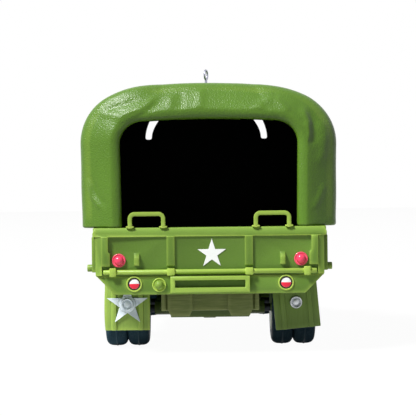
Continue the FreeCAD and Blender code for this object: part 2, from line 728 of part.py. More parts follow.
def bed_tub():
    """Floor, side walls and front wall of the cargo bed, with its stakes, cap, sills and side hooks."""
    half = BED_HALF
    inner = half - BED_WALL
    rear = TAIL_Y + PANEL_THICKNESS
    shapes = [block(-half, half, rear, BED_FRONT_Y, BED_BOTTOM_Z, BED_BOTTOM_Z + BED_FLOOR)]
    shapes.append(block(-half, half, BED_FRONT_Y - BED_WALL, BED_FRONT_Y, BED_BOTTOM_Z, BED_TOP_Z))
    wall = block(inner, half, rear, BED_FRONT_Y, BED_BOTTOM_Z, BED_TOP_Z)
    cap = block(inner, half + BED_CAP_PROUD, rear, BED_FRONT_Y, BED_TOP_Z - BED_CAP_HEIGHT, BED_TOP_Z)
    side = [wall, cap]
    pitch = (BED_FRONT_Y - rear - STAKE_WIDTH) / (STAKE_COUNT - 1)
    for i in range(STAKE_COUNT):
        y = rear + pitch * i
        side.append(block(inner, half + STAKE_PROUD, y, y + STAKE_WIDTH,
                          BED_BOTTOM_Z, BED_TOP_Z - BED_CAP_HEIGHT))
    hook_y = TAIL_Y + HOOK_FROM_TAIL + STAKE_WIDTH
    hook_z = BED_BOTTOM_Z + HOOK_RADIUS
    side.append(button(HOOK_RADIUS, inner, half + HOOK_REACH, hook_y, hook_z, ROD_SIDES))
    side.append(prism(
        [
            (half - BED_WALL, hook_y - HOOK_RADIUS / 2, hook_z),
            (half + HOOK_REACH, hook_y - HOOK_RADIUS / 2, hook_z),
            (half - BED_WALL, hook_y - HOOK_RADIUS / 2, hook_z + HOOK_STEM_RISE),
        ],
        (0, HOOK_RADIUS, 0),
    ))
    sill = block(RAIL_INNER_X, RAIL_OUTER_X, rear, BED_FRONT_Y, RAIL_TOP_Z, BED_BOTTOM_Z)
    side.append(sill)
    for shape in side:
        shapes += both_sides(shape)
    bolster_half = half - BOLSTER_SIDE_GAP
    hanger_y = TAIL_Y + FLAP_SETBACK + FLAP_THICKNESS
    places = [
        rear + BOLSTER_WIDTH,
        (REAR_AXLE_Y + MID_AXLE_Y) / 2,
        (MID_AXLE_Y + BED_FRONT_Y) / 2,
        BED_FRONT_Y - BOLSTER_WIDTH,
    ]
    for y in places:
        shapes.append(block(-bolster_half, bolster_half, y - BOLSTER_WIDTH / 2, y + BOLSTER_WIDTH / 2,
                            RAIL_TOP_Z, BED_BOTTOM_Z))
    hanger = block(FLAP_INNER_X, FLAP_INNER_X + FLAP_WIDTH, hanger_y, hanger_y + FLAP_HANGER_THICKNESS,
                   BED_BOTTOM_Z - FLAP_HANGER_HEIGHT, BED_BOTTOM_Z)
    shapes += both_sides(hanger)
    return joined(shapes)


def tail_panel():
    """The rear plate: tailgate with rail, flanges, posts, ribs and tabs, and the sill below it."""
    half = PANEL_HALF
    back = TAIL_Y + PANEL_THICKNESS
    chamfer_top = SILL_BOTTOM_Z + SILL_CHAMFER
    foot = half - SILL_CHAMFER
    plate = prism(
        [
            (half, back, BED_TOP_Z),
            (half, back, chamfer_top),
            (foot, back, SILL_BOTTOM_Z),
            (-foot, back, SILL_BOTTOM_Z),
            (-half, back, chamfer_top),
            (-half, back, BED_TOP_Z),
        ],
        (0, -PANEL_THICKNESS, 0),
    )
    cut_x = foot + SILL_TOP_Z - SILL_BOTTOM_Z
    sill = prism(
        [
            (cut_x, TAIL_Y, SILL_TOP_Z),
            (foot, TAIL_Y, SILL_BOTTOM_Z),
            (-foot, TAIL_Y, SILL_BOTTOM_Z),
            (-cut_x, TAIL_Y, SILL_TOP_Z),
        ],
        (0, -SILL_PROUD, 0),
    )
    rail_bottom = GATE_RAIL_BOTTOM_Z
    rail_half = BED_HALF + BED_CAP_PROUD
    rail_y = TAIL_Y - GATE_RAIL_PROUD
    rail = prism(
        [
            (rail_half, rail_y, rail_bottom),
            (rail_half, rail_y, BED_TOP_Z - GATE_RAIL_SLANT_DROP),
            (rail_half - GATE_RAIL_SLANT, rail_y, BED_TOP_Z),
            (GATE_RAIL_SLANT - rail_half, rail_y, BED_TOP_Z),
            (-rail_half, rail_y, BED_TOP_Z - GATE_RAIL_SLANT_DROP),
            (-rail_half, rail_y, rail_bottom),
        ],
        (0, back - rail_y, 0),
    )
    upright_foot = HINGE_Z + HINGE_RADIUS + CLAMP_MARGIN + PANEL_GAP
    flange = block(half - FLANGE_WIDTH, half, TAIL_Y - FLANGE_PROUD, TAIL_Y, chamfer_top, rail_bottom)
    post_y = TAIL_Y - POST_PROUD
    post_outer = POST_INNER_X + POST_WIDTH
    foot_inner = POST_INNER_X - POST_FOOT_MARGIN
    post = prism(
        [
            (foot_inner, post_y, upright_foot),
            (foot_inner, post_y, POST_FOOT_TOP_Z - POST_FOOT_MARGIN),
            (POST_INNER_X, post_y, POST_FOOT_TOP_Z),
            (POST_INNER_X, post_y, rail_bottom),
            (post_outer, post_y, rail_bottom),
            (post_outer, post_y, upright_foot),
        ],
        (0, POST_PROUD, 0),
    )
    rib = block(GATE_RIB_INNER_X, GATE_RIB_INNER_X + GATE_RIB_WIDTH, TAIL_Y - POST_PROUD, TAIL_Y,
                upright_foot, rail_bottom)
    tab_x = TAB_X - TAB_WIDTH / 2
    tab = prism(
        [
            (tab_x, TAIL_Y, TAB_BOTTOM_Z),
            (tab_x, TAIL_Y - TAB_PROUD, TAB_BOTTOM_Z),
            (tab_x, TAIL_Y - TAB_PROUD, TAB_TOP_Z - TAB_PROUD),
            (tab_x, TAIL_Y, TAB_TOP_Z),
        ],
        (TAB_WIDTH, 0, 0),
    )
    sill_y = TAIL_Y - SILL_PROUD
    lip = rod_y(LAMP_LIP_RADIUS, sill_y - LAMP_LIP_PROUD, sill_y, LAMP_X, LAMP_Z)
    shapes = [plate, sill, rail]
    for shape in (flange, post, rib, tab, lip):
        shapes += both_sides(shape)
    pocket = rod_y(LAMP_POCKET_RADIUS, sill_y - LAMP_LIP_PROUD - OVERRUN,
                   sill_y - LAMP_LIP_PROUD + LAMP_POCKET_DEPTH, LAMP_X, LAMP_Z)
    return joined(shapes).cut(Part.makeCompound(both_sides(pocket)))


def hinge_rod():
    """The rod along the foot of the tailgate, with its knuckles and end clamps."""
    y = TAIL_Y - HINGE_RADIUS
    shapes = [button(HINGE_RADIUS, -HINGE_HALF_LENGTH, HINGE_HALF_LENGTH, y, HINGE_Z, ROD_SIDES)]
    places = [
        (GATE_RIB_INNER_X + GATE_RIB_WIDTH / 2, GATE_RIB_WIDTH, KNUCKLE_MARGIN),
        (CLAMP_X, CLAMP_WIDTH, CLAMP_MARGIN),
    ]
    for x, width, margin in places:
        reach = HINGE_RADIUS + margin
        shapes += both_sides(block(x - width / 2, x + width / 2, y - reach, TAIL_Y,
                                   HINGE_Z - reach, HINGE_Z + reach))
    return joined(shapes)


def tail_step():
    """The step's open frame on the sill."""
    front = TAIL_Y - SILL_PROUD
    outer = block(-STEP_HALF, STEP_HALF, TAIL_Y - STEP_REACH, front, STEP_BOTTOM_Z, SILL_TOP_Z)
    inner_half = STEP_HALF - STEP_SIDE_BAR
    hole = block(-inner_half, inner_half, TAIL_Y - STEP_REACH - OVERRUN, front + OVERRUN,
                 STEP_BOTTOM_Z + STEP_LOWER_BAR, SILL_TOP_Z - STEP_UPPER_BAR)
    return outer.cut(hole)


def rounded_arch(half, height, corner, x, y, z):
    """Edges of an upright arch with a flat top and round upper corners, standing at height z."""
    lean = corner * (1 - math.sqrt(0.5))
    top = z + height
    left = x - half
    right = x + half
    return [
        line((left, y, z), (left, y, top - corner)),
        arc((left, y, top - corner), (left + lean, y, top - lean), (left + corner, y, top)),
        line((left + corner, y, top), (right - corner, y, top)),
        arc((right - corner, y, top), (right - lean, y, top - lean), (right, y, top - corner)),
        line((right, y, top - corner), (right, y, z)),
        line((right, y, z), (left, y, z)),
    ]


def grab_loop():
    """The right grab loop: a bent square bar with a foot at each end."""
    y = TAIL_Y - GATE_RAIL_PROUD + LOOP_SETBACK
    outer = outline_prism(rounded_arch(LOOP_WIDTH / 2, LOOP_HEIGHT, LOOP_CORNER, LOOP_X, y, BED_TOP_Z),
                          (0, LOOP_BAR, 0))
    hole_y = y - OVERRUN
    hole = outline_prism(
        rounded_arch(LOOP_WIDTH / 2 - LOOP_BAR, LOOP_HEIGHT - LOOP_BAR + OVERRUN, LOOP_CORNER - LOOP_BAR,
                     LOOP_X, hole_y, BED_TOP_Z - OVERRUN),
        (0, LOOP_BAR + OVERRUN * 2, 0),
    )
    shapes = [outer.cut(hole)]
    for foot_x in (LOOP_X - LOOP_WIDTH / 2 + LOOP_BAR / 2, LOOP_X + LOOP_WIDTH / 2 - LOOP_BAR / 2):
        shapes.append(block(foot_x - LOOP_FOOT_WIDTH / 2, foot_x + LOOP_FOOT_WIDTH / 2, y, y + LOOP_BAR,
                            BED_TOP_Z, BED_TOP_Z + LOOP_FOOT_HEIGHT))
    return joined(shapes)


def mudflap(with_boss):
    """The right mudflap, hanging straight, with two raised ribs."""
    y = TAIL_Y + FLAP_SETBACK
    top = BED_BOTTOM_Z - FLAP_TOP_GAP
    outer = FLAP_INNER_X + FLAP_WIDTH
    shapes = [block(FLAP_INNER_X, outer, y, y + FLAP_THICKNESS, FLAP_BOTTOM_Z, top)]
    for rib_x in (FLAP_INNER_X + FLAP_RIB_INSET, outer - FLAP_RIB_INSET - FLAP_RIB_WIDTH):
        shapes.append(block(rib_x, rib_x + FLAP_RIB_WIDTH, y - FLAP_RIB_PROUD, y, FLAP_BOTTOM_Z, top))
    if with_boss:
        centre = FLAP_INNER_X + FLAP_WIDTH / 2
        shapes.append(rod_y(FLAP_BOSS_RADIUS, y - FLAP_RIB_PROUD - FLAP_BOSS_PROUD, y, centre, RIVET_Z))
    return joined(shapes)


def rivet(stand_off):
    """The cupped metal eyelet on a right mudflap."""
    x = FLAP_INNER_X + FLAP_WIDTH / 2
    y = TAIL_Y + FLAP_SETBACK - stand_off
    body = rod_y(RIVET_RADIUS, y - RIVET_PROUD, y, x, RIVET_Z)
    cup = rod_y(RIVET_CUP_RADIUS, y - RIVET_PROUD - OVERRUN, y - RIVET_PROUD + RIVET_CUP_DEPTH, x, RIVET_Z)
    return body.cut(cup)


def skewed(shape):
    """A right mudflap piece turned with the flap, whose foot has swung outwards."""
    turned = shape.copy()
    pivot = V(FLAP_INNER_X + FLAP_WIDTH / 2, 0, BED_BOTTOM_Z - FLAP_TOP_GAP)
    turned.rotate(pivot, V(0, 1, 0), -FLAP_SKEW_DEGREES)
    return turned


def flap_star():
    """The star on the left mudflap, with room for the boss that stands in its middle."""
    x = -(FLAP_INNER_X + FLAP_WIDTH / 2)
    y = TAIL_Y + FLAP_SETBACK - FLAP_RIB_PROUD
    boss = rod_y(FLAP_BOSS_RADIUS + SEAT_CLEARANCE, y - OVERRUN, y + OVERRUN, x, RIVET_Z)
    return star(FLAP_STAR_RADIUS, x, y, FLAP_STAR_Z, STAR_THICKNESS).cut(boss)


def tail_nodes():
    """Everything on and under the rear panel."""
    reflector = dome(REFLECTOR_RADIUS, REFLECTOR_RIM, REFLECTOR_RISE, REFLECTOR_X, TAIL_Y, REFLECTOR_Z, -1)
    lamp_y = TAIL_Y - SILL_PROUD - LAMP_LIP_PROUD + LAMP_POCKET_DEPTH
    lamp = dome(LAMP_RADIUS, LAMP_POCKET_DEPTH - LAMP_LIP_PROUD, LAMP_RISE, LAMP_X, lamp_y, LAMP_Z, -1)
    socket = dome(SOCKET_RADIUS, SOCKET_RIM, SOCKET_RISE, -SOCKET_X, TAIL_Y - SILL_PROUD, SOCKET_Z, -1)
    loop = grab_loop()
    boss_height = FLAP_RIB_PROUD + FLAP_BOSS_PROUD
    return {
        "tail_panel": tail_panel(),
        "hinge_rod": hinge_rod(),
        "tail_step": tail_step(),
        "tail_reflectors": Part.makeCompound(both_sides(reflector)),
        "tail_lamps": Part.makeCompound(both_sides(lamp)),
        "socket_cover": socket,
        "grab_loop_left": mirrored(loop),
        "grab_loop_right": loop,
        "tail_star": star(STAR_RADIUS, STAR_X, TAIL_Y, STAR_Z, STAR_THICKNESS),
        "mudflap_left": mirrored(mudflap(True)),
        "mudflap_right": skewed(mudflap(False)),
        "flap_rivet_left": mirrored(rivet(boss_height)),
        "flap_rivet_right": skewed(rivet(0)),
        "flap_star": flap_star(),
    }


def arc_about(centre_x, centre_z, radius, start, end, y):
    """A round edge across the truck, about a centre, between two angles."""
    places = []
    for angle in (start, (start + end) / 2, end):
        places.append((centre_x + radius * math.cos(angle), y, centre_z + radius * math.sin(angle)))
    return arc(*places)


def canopy_section(inset, foot_z, y):
    """Edges of the outline across the canopy, moved inwards by inset, with its foot at foot_z.

    Each corner is a tight shoulder arc that runs into a wider haunch arc, and the crown is nearly flat.
    """
    reach = CANOPY_CORNER_REACH
    drop = CANOPY_CORNER_DROP
    tight = CANOPY_SHOULDER_RADIUS
    wide = (reach ** 2 + drop ** 2 - reach * tight * 2) / ((drop - tight) * 2)
    half = CANOPY_HALF
    foot = half - CANOPY_LEAN - inset
    haunch_x = half - reach
    haunch_z = CANOPY_TOP_Z - CANOPY_CROWN_RISE
    shoulder_z = haunch_z - drop
    meet = math.atan2(wide - drop, half - tight - haunch_x)
    shoulder = arc_about(half - tight, shoulder_z, tight - inset, 0, meet, y)
    haunch = arc_about(haunch_x, haunch_z - wide, wide - inset, meet, math.pi / 2, y)
    side = line((foot, y, foot_z), (half - inset, y, shoulder_z))
    crown = arc((haunch_x, y, haunch_z - inset), (0, y, CANOPY_TOP_Z - inset),
                (-haunch_x, y, haunch_z - inset))
    base = line((-foot, y, foot_z), (foot, y, foot_z))
    return [base, crown] + both_sides(side) + both_sides(shoulder) + both_sides(haunch)


def canopy_slot(y):
    """The right slot in the canopy's front wall, bowed towards the middle as it rises."""
    outer = SLOT_OUTER_X
    inner = outer - SLOT_WIDTH
    low = SLOT_BOTTOM_Z + SLOT_WIDTH / 2
    top = SLOT_BOTTOM_Z + SLOT_HEIGHT
    middle_z = (low + top) / 2
    top_outer = outer - SLOT_LEAN
    top_inner = top_outer - SLOT_TOP_WIDTH
    bend = SLOT_LEAN / 2 - SLOT_BOW
    edges = [
        arc((inner, y, low), ((inner + outer) / 2, y, SLOT_BOTTOM_Z), (outer, y, low)),
        arc((outer, y, low), (outer - bend, y, middle_z), (top_outer, y, top)),
        arc((top_outer, y, top), ((top_inner + top_outer) / 2, y, top + SLOT_BOW), (top_inner, y, top)),
        arc((top_inner, y, top), ((top_inner + inner) / 2 + SLOT_BOW, y, middle_z), (inner, y, low)),
    ]
    return outline_prism(edges, (0, CANOPY_WALL + OVERRUN * 2, 0))


def canopy():
    """The moulded canopy: a hollow shell with a thick rear lip, an open mouth and two front slots."""
    shell = outline_prism(canopy_section(0, BED_TOP_Z, TAIL_Y), (0, BED_LENGTH, 0))
    shell = shell.makeChamfer(CANOPY_REAR_BEVEL, edges_at_y(shell, TAIL_Y, BED_TOP_Z))
    shell = shell.makeChamfer(CANOPY_FRONT_BEVEL, edges_at_y(shell, BED_FRONT_Y, BED_TOP_Z))
    room_y = TAIL_Y + CANOPY_REAR_WALL
    room_length = BED_LENGTH - CANOPY_REAR_WALL - CANOPY_WALL
    room = outline_prism(canopy_section(CANOPY_WALL, BED_TOP_Z + CANOPY_FOOT_LEDGE, room_y),
                         (0, room_length, 0))
    inner = BED_HALF - BED_WALL
    well = block(-inner, inner, room_y, room_y + room_length,
                 BED_TOP_Z - OVERRUN, BED_TOP_Z + CANOPY_FOOT_LEDGE + OVERRUN)
    mouth_y = TAIL_Y - OVERRUN
    mouth = outline_prism(
        rounded_arch(MOUTH_HALF, MOUTH_HEIGHT + OVERRUN, MOUTH_CORNER, 0, mouth_y, BED_TOP_Z - OVERRUN),
        (0, CANOPY_REAR_WALL + OVERRUN * 2, 0),
    )
    shell = shell.cut(mouth)
    lip = []
    for edge in edges_at_y(shell, TAIL_Y, BED_TOP_Z):
        bounds = edge.BoundBox
        across = abs(bounds.Center.x) <= MOUTH_HALF + FACE_TOLERANCE
        if across and bounds.ZMax <= BED_TOP_Z + MOUTH_HEIGHT + FACE_TOLERANCE:
            lip.append(edge)
    shell = shell.makeChamfer(MOUTH_BEVEL, lip)
    slot = canopy_slot(BED_FRONT_Y - CANOPY_WALL - OVERRUN)
    return shell.cut(Part.makeCompound([room.fuse(well)] + both_sides(slot)))


def ring_profile(radius, wire_radius):
    """The outline of a bent wire or rim, for turning into a ring."""
    profile = []
    for i in range(WIRE_SIDES):
        angle = math.pi * (i * 2 + 1) / WIRE_SIDES
        profile.append((wire_radius * math.sin(angle), radius + wire_radius * math.cos(angle)))
    return profile


def hanger_eyelet():
    """The wire loop on top of the canopy, with its two close stems set into a plug in the crown."""
    stem_foot = CANOPY_TOP_Z
    centre_z = stem_foot + EYELET_STEM + EYELET_RADIUS
    ring = flatted(ring_profile(EYELET_RADIUS, EYELET_WIRE_RADIUS), RING_SIDES, (0, EYELET_Y, centre_z),
                   (0, 1, 0), (0, 0, -1))
    stem_width = EYELET_WIRE_RADIUS * 2
    stem = block(-stem_width / 2, stem_width / 2, EYELET_Y - EYELET_WIRE_RADIUS,
                 EYELET_Y + EYELET_WIRE_RADIUS, stem_foot, stem_foot + EYELET_STEM + EYELET_WIRE_RADIUS)
    loop = joined([ring, stem])
    loop.rotate(V(0, EYELET_Y, 0), V(0, 0, 1), EYELET_TURN_DEGREES)
    return loop


def cab_body():
    """The lower cab: floor, back, sides with their door openings, and the cowl."""
    half = CAB_HALF
    inner = half - CAB_WALL
    outer = block(-half, half, CAB_BACK_Y, CAB_FRONT_Y, RAIL_TOP_Z, CAB_BELT_Z)
    cowl = block(-half, half, CAB_FRONT_Y - COWL_DEPTH, CAB_FRONT_Y, CAB_BELT_Z, COWL_TOP_Z)
    room = block(-inner, inner, CAB_BACK_Y + CAB_WALL, CAB_FRONT_Y - COWL_DEPTH,
                 RAIL_TOP_Z + CAB_WALL, CAB_BELT_Z + OVERRUN)
    legs = block(-inner, inner, CAB_FRONT_Y - COWL_DEPTH - OVERRUN, CAB_FRONT_Y - CAB_WALL,
                 RAIL_TOP_Z + CAB_WALL, CAB_BELT_Z - CAB_WALL)
    door_y = CAB_BACK_Y + DOOR_FROM_BACK
    opening = block(inner - OVERRUN, half + OVERRUN, door_y, door_y + DOOR_LENGTH,
                    RAIL_TOP_Z + DOOR_SILL_HEIGHT, CAB_BELT_Z + OVERRUN)
    cuts = [room, legs] + both_sides(opening)
    return joined([outer, cowl]).cut(Part.makeCompound(cuts))


def cab_door():
    """The right door, up to the belt line, with its handle."""
    half = CAB_HALF
    door_y = CAB_BACK_Y + DOOR_FROM_BACK
    y0 = door_y + PANEL_GAP
    y1 = door_y + DOOR_LENGTH - PANEL_GAP
    z0 = RAIL_TOP_Z + DOOR_SILL_HEIGHT
    panel = block(half - CAB_WALL, half, y0, y1, z0, CAB_BELT_Z)
    handle_z = CAB_BELT_Z - DOOR_HANDLE_LENGTH
    handle = block(half, half + DOOR_HANDLE_PROUD, y0 + PANEL_GAP, y0 + PANEL_GAP + DOOR_HANDLE_LENGTH,
                   handle_z, handle_z + DOOR_HANDLE_HEIGHT)
    return joined([panel, handle])


def cab_section(inset, foot_z, y):
    """Edges of the outline across the cab's top, moved inwards by inset."""
    half = CAB_HALF - inset
    corner = CAB_TOP_CORNER - inset
    top = CAB_TOP_Z - inset
    haunch = top - CAB_TOP_CROWN
    lean = corner * (1 - math.sqrt(0.5))
    side = line((half, y, foot_z), (half, y, haunch - corner))
    bend = arc((half, y, haunch - corner), (half - lean, y, haunch - lean), (half - corner, y, haunch))
    crown = arc((half - corner, y, haunch), (0, y, top), (corner - half, y, haunch))
    base = line((-half, y, foot_z), (half, y, foot_z))
    return [base, crown] + both_sides(side) + both_sides(bend)


def cab_top():
    """The cab's soft top, moulded hollow, with side and back windows and an open front."""
    length = CAB_LENGTH - COWL_DEPTH
    shell = outline_prism(cab_section(0, CAB_BELT_Z, CAB_BACK_Y), (0, length, 0))
    room = outline_prism(cab_section(CAB_WALL, CAB_BELT_Z - OVERRUN, CAB_BACK_Y + CAB_WALL),
                         (0, length + OVERRUN, 0))
    half = CAB_HALF
    window_y = CAB_BACK_Y + DOOR_FROM_BACK
    window_z = CAB_BELT_Z + SIDE_WINDOW_SILL
    side = block(half - CAB_WALL - OVERRUN, half + OVERRUN, window_y, window_y + DOOR_LENGTH,
                 window_z, window_z + SIDE_WINDOW_HEIGHT)
    back_z = CAB_BELT_Z + BACK_WINDOW_SILL
    back = block(-BACK_WINDOW_HALF, BACK_WINDOW_HALF, CAB_BACK_Y - OVERRUN, CAB_BACK_Y + CAB_WALL + OVERRUN,
                 back_z, back_z + BACK_WINDOW_HEIGHT)
    return shell.cut(Part.makeCompound([room, back] + both_sides(side)))


def windshield_panes(y, thickness, margin):
    """The two panes' shapes, smaller all round by margin, from y forwards."""
    inner = WINDSHIELD_POST / 2 + margin
    outer = WINDSHIELD_HALF - WINDSHIELD_BAR - margin
    z0 = COWL_TOP_Z + WINDSHIELD_BAR + margin
    z1 = COWL_TOP_Z + WINDSHIELD_HEIGHT - WINDSHIELD_BAR - margin
    return both_sides(block(inner, outer, y, y + thickness, z0, z1))


def windshield_nodes():
    """The windshield's frame and its two panes."""
    y = CAB_FRONT_Y - COWL_DEPTH
    frame = block(-WINDSHIELD_HALF, WINDSHIELD_HALF, y, y + WINDSHIELD_THICKNESS,
                  COWL_TOP_Z, COWL_TOP_Z + WINDSHIELD_HEIGHT)
    holes = windshield_panes(y - OVERRUN, WINDSHIELD_THICKNESS + OVERRUN * 2, 0)
    glass_y = y + (WINDSHIELD_THICKNESS - GLASS_THICKNESS) / 2
    return {
        "windshield_frame": frame.cut(Part.makeCompound(holes)),
        "windshield_glass": Part.makeCompound(windshield_panes(glass_y, GLASS_THICKNESS, SEAT_CLEARANCE)),
    }


def cab_seat():
    """The bench and its back, standing on the cab floor."""
    floor = RAIL_TOP_Z + CAB_WALL
    y0 = CAB_BACK_Y + CAB_WALL + PANEL_GAP
    bench = block(-SEAT_HALF, SEAT_HALF, y0, y0 + SEAT_DEPTH, floor, floor + SEAT_HEIGHT)
    back = block(-SEAT_HALF, SEAT_HALF, y0, y0 + SEAT_BACK_THICKNESS,
                 floor, floor + SEAT_HEIGHT + SEAT_BACK_HEIGHT)
    seat = joined([bench, back])
    top = floor + SEAT_HEIGHT
    rounded = []
    for edge in seat.Edges:
        bounds = edge.BoundBox
        raised = bounds.ZMin >= top + SEAT_ROUND
        front = bounds.ZMin >= top - FACE_TOLERANCE and bounds.YMin > y0 + SEAT_DEPTH - SEAT_ROUND
        if bounds.XLength > SEAT_HALF and (raised or front):
            rounded.append(edge)
    return seat.makeFillet(SEAT_ROUND, rounded)


def steering_wheel():
    """The steering wheel on its column, leaning out of the dash."""
    origin = (0, 0, 0)
    up = (0, 0, 1)
    right = (1, 0, 0)
    tilt = STEERING_TILT_DEGREES
    column_length = STEERING_REACH / math.sin(math.radians(tilt)) + STEERING_HUB_RADIUS * 2
    rim = flatted(ring_profile(STEERING_RADIUS, STEERING_RIM_RADIUS), RING_SIDES, origin, up, right)
    column_outline = [
        (-column_length, 0),
        (-column_length, STEERING_HUB_RADIUS),
        (STEERING_RIM_RADIUS, STEERING_HUB_RADIUS),
        (STEERING_RIM_RADIUS, 0),
    ]
    column = flatted(column_outline, ROD_SIDES, origin, up, right)
    half_spoke = STEERING_SPOKE_WIDTH / 2
    spoke = block(-STEERING_RADIUS, STEERING_RADIUS, -half_spoke, half_spoke,
                  -STEERING_RIM_RADIUS / 2, STEERING_RIM_RADIUS / 2)
    wheel = joined([rim, column, spoke])
    wheel.rotate(V(0, 0, 0), V(1, 0, 0), tilt)
    firewall_y = CAB_FRONT_Y - CAB_WALL
    wheel.translate(V(STEERING_X, firewall_y - STEERING_REACH, RAIL_TOP_Z + CAB_WALL + STEERING_RISE))
    beyond = block(STEERING_X - STEERING_RADIUS, STEERING_X + STEERING_RADIUS, firewall_y,
                   firewall_y + column_length, RAIL_TOP_Z, CAB_TOP_Z)
    return wheel.cut(beyond)


def hood():
    """The hood and engine housing, with round shoulders and side louvres, falling towards the grille."""
    sections = []
    for y, height in ((CAB_FRONT_Y, HOOD_REAR_HEIGHT), (HOOD_FRONT_Y, HOOD_FRONT_HEIGHT)):
        edges = rounded_arch(HOOD_HALF, height, HOOD_SHOULDER, 0, y, RAIL_TOP_Z)
        sections.append(Part.Wire(Part.sortEdges(edges)[0]))
    body = Part.makeLoft(sections, True, True)
    low = FENDER_TOP_Z + LOUVRE_RISE
    start = CAB_FRONT_Y + LOUVRE_REAR_MARGIN
    pitch = (HOOD_LENGTH - LOUVRE_REAR_MARGIN - LOUVRE_FRONT_MARGIN - LOUVRE_WIDTH) / (LOUVRE_COUNT - 1)
    louvres = []
    for i in range(LOUVRE_COUNT):
        y = start + pitch * i
        louvres += both_sides(block(HOOD_HALF - LOUVRE_DEPTH, HOOD_HALF + OVERRUN, y, y + LOUVRE_WIDTH,
                                    low, low + LOUVRE_HEIGHT))
    return body.cut(Part.makeCompound(louvres))


def fender_side(inset, foot_z, x):
    """Edges of a fender seen from the side, moved inwards by inset, with its foot at foot_z."""
    rear = CAB_FRONT_Y + inset
    front = GRILLE_FRONT_Y - inset
    top = FENDER_TOP_Z - inset
    nose = FENDER_NOSE_RADIUS - inset
    lean = nose * (1 - math.sqrt(0.5))
    return [
        line((x, rear, foot_z), (x, rear, top)),
        line((x, rear, top), (x, front - nose, top)),
        arc((x, front - nose, top), (x, front - lean, top - lean), (x, front, top - nose)),
        line((x, front, top - nose), (x, front, foot_z)),
        line((x, front, foot_z), (x, rear, foot_z)),
    ]


def fender():
    """The right front fender: a skin with a round nose, an outer skirt and an open wheel arch."""
    width = FENDER_OUTER_X - HOOD_HALF
    foot = RAIL_TOP_Z - FENDER_DROP
    outer = outline_prism(fender_side(0, foot, HOOD_HALF), (width, 0, 0))
    room = outline_prism(fender_side(FENDER_SKIN, foot - OVERRUN, HOOD_HALF - OVERRUN),
                         (width + OVERRUN - FENDER_SKIN, 0, 0))
    arch = rod_x(TYRE_RADIUS + ARCH_CLEARANCE, HOOD_HALF - OVERRUN, FENDER_OUTER_X + OVERRUN,
                 FRONT_AXLE_Y, AXLE_Z)
    return outer.cut(Part.makeCompound([room.fuse(arch)]))


def grille():
    """The upright grille plate with its row of tall slots."""
    foot = RAIL_TOP_Z + GRILLE_FOOT
    plate = outline_prism(rounded_arch(GRILLE_HALF, GRILLE_HEIGHT, GRILLE_CORNER, 0, HOOD_FRONT_Y, foot),
                          (0, GRILLE_THICKNESS, 0))
    span = (GRILLE_HALF - GRILLE_BORDER) * 2
    pitch = span / GRILLE_SLOTS
    slot_width = pitch * (1 - GRILLE_BAR_SHARE)
    slots = []
    for i in range(GRILLE_SLOTS):
        x = -span / 2 + pitch * (i + GRILLE_BAR_SHARE / 2)
        slots.append(block(x, x + slot_width, HOOD_FRONT_Y - OVERRUN, GRILLE_FRONT_Y + OVERRUN,
                           foot + GRILLE_BORDER, foot + GRILLE_HEIGHT - GRILLE_BORDER))
    return plate.cut(Part.makeCompound(slots))


def shackle(z):
    """The right lifting shackle, an arch that stands on the bumper at height z, ahead of its frame rail."""
    x = (RAIL_INNER_X + RAIL_OUTER_X) / 2
    y = (GRILLE_FRONT_Y + BUMPER_FRONT_Y - SHACKLE_BAR) / 2
    outer = outline_prism(rounded_arch(SHACKLE_WIDTH / 2, SHACKLE_HEIGHT, SHACKLE_CORNER, x, y, z),
                          (0, SHACKLE_BAR, 0))
    hole = outline_prism(
        rounded_arch(SHACKLE_WIDTH / 2 - SHACKLE_BAR, SHACKLE_HEIGHT - SHACKLE_BAR + OVERRUN,
                     SHACKLE_CORNER - SHACKLE_BAR, x, y - OVERRUN, z - OVERRUN),
        (0, SHACKLE_BAR + OVERRUN * 2, 0),
    )
    return outer.cut(hole)


def front_bumper():
    """The channel bumper across the ends of the frame rails, with its two shackles."""
    half = BUMPER_WIDTH / 2
    low = RAIL_BOTTOM_Z - BUMPER_DROP
    high = low + BUMPER_HEIGHT
    beam = block(-half, half, GRILLE_FRONT_Y, BUMPER_FRONT_Y, low, high)
    channel = block(RAIL_OUTER_X + BUMPER_LIP, half - BUMPER_LIP, GRILLE_FRONT_Y - OVERRUN,
                    BUMPER_FRONT_Y - BUMPER_CHANNEL, low + BUMPER_LIP, high - BUMPER_LIP)
    beam = beam.cut(Part.makeCompound(both_sides(channel)))
    return joined([beam] + both_sides(shackle(high)))


def headlamp():
    """The right headlamp on the fender's nose."""
    return dome(HEADLAMP_RADIUS, HEADLAMP_RIM, HEADLAMP_RISE, HEADLAMP_X, GRILLE_FRONT_Y,
                FENDER_TOP_Z - FENDER_NOSE_RADIUS, 1)


def running_board():
    """The right running board, carried by two brackets on the rail."""
    top = RAIL_TOP_Z - BOARD_DROP
    low = top - BOARD_THICKNESS
    outer = CAB_HALF + BOARD_OVERHANG
    board = block(outer - BOARD_WIDTH, outer, CAB_BACK_Y, CAB_FRONT_Y, low, top)
    shapes = [board]
    for y in (CAB_BACK_Y + BOARD_BRACKET_WIDTH, CAB_FRONT_Y - BOARD_BRACKET_WIDTH * 2):
        shapes.append(block(RAIL_OUTER_X, outer, y, y + BOARD_BRACKET_WIDTH, low, top))
    return joined(shapes)


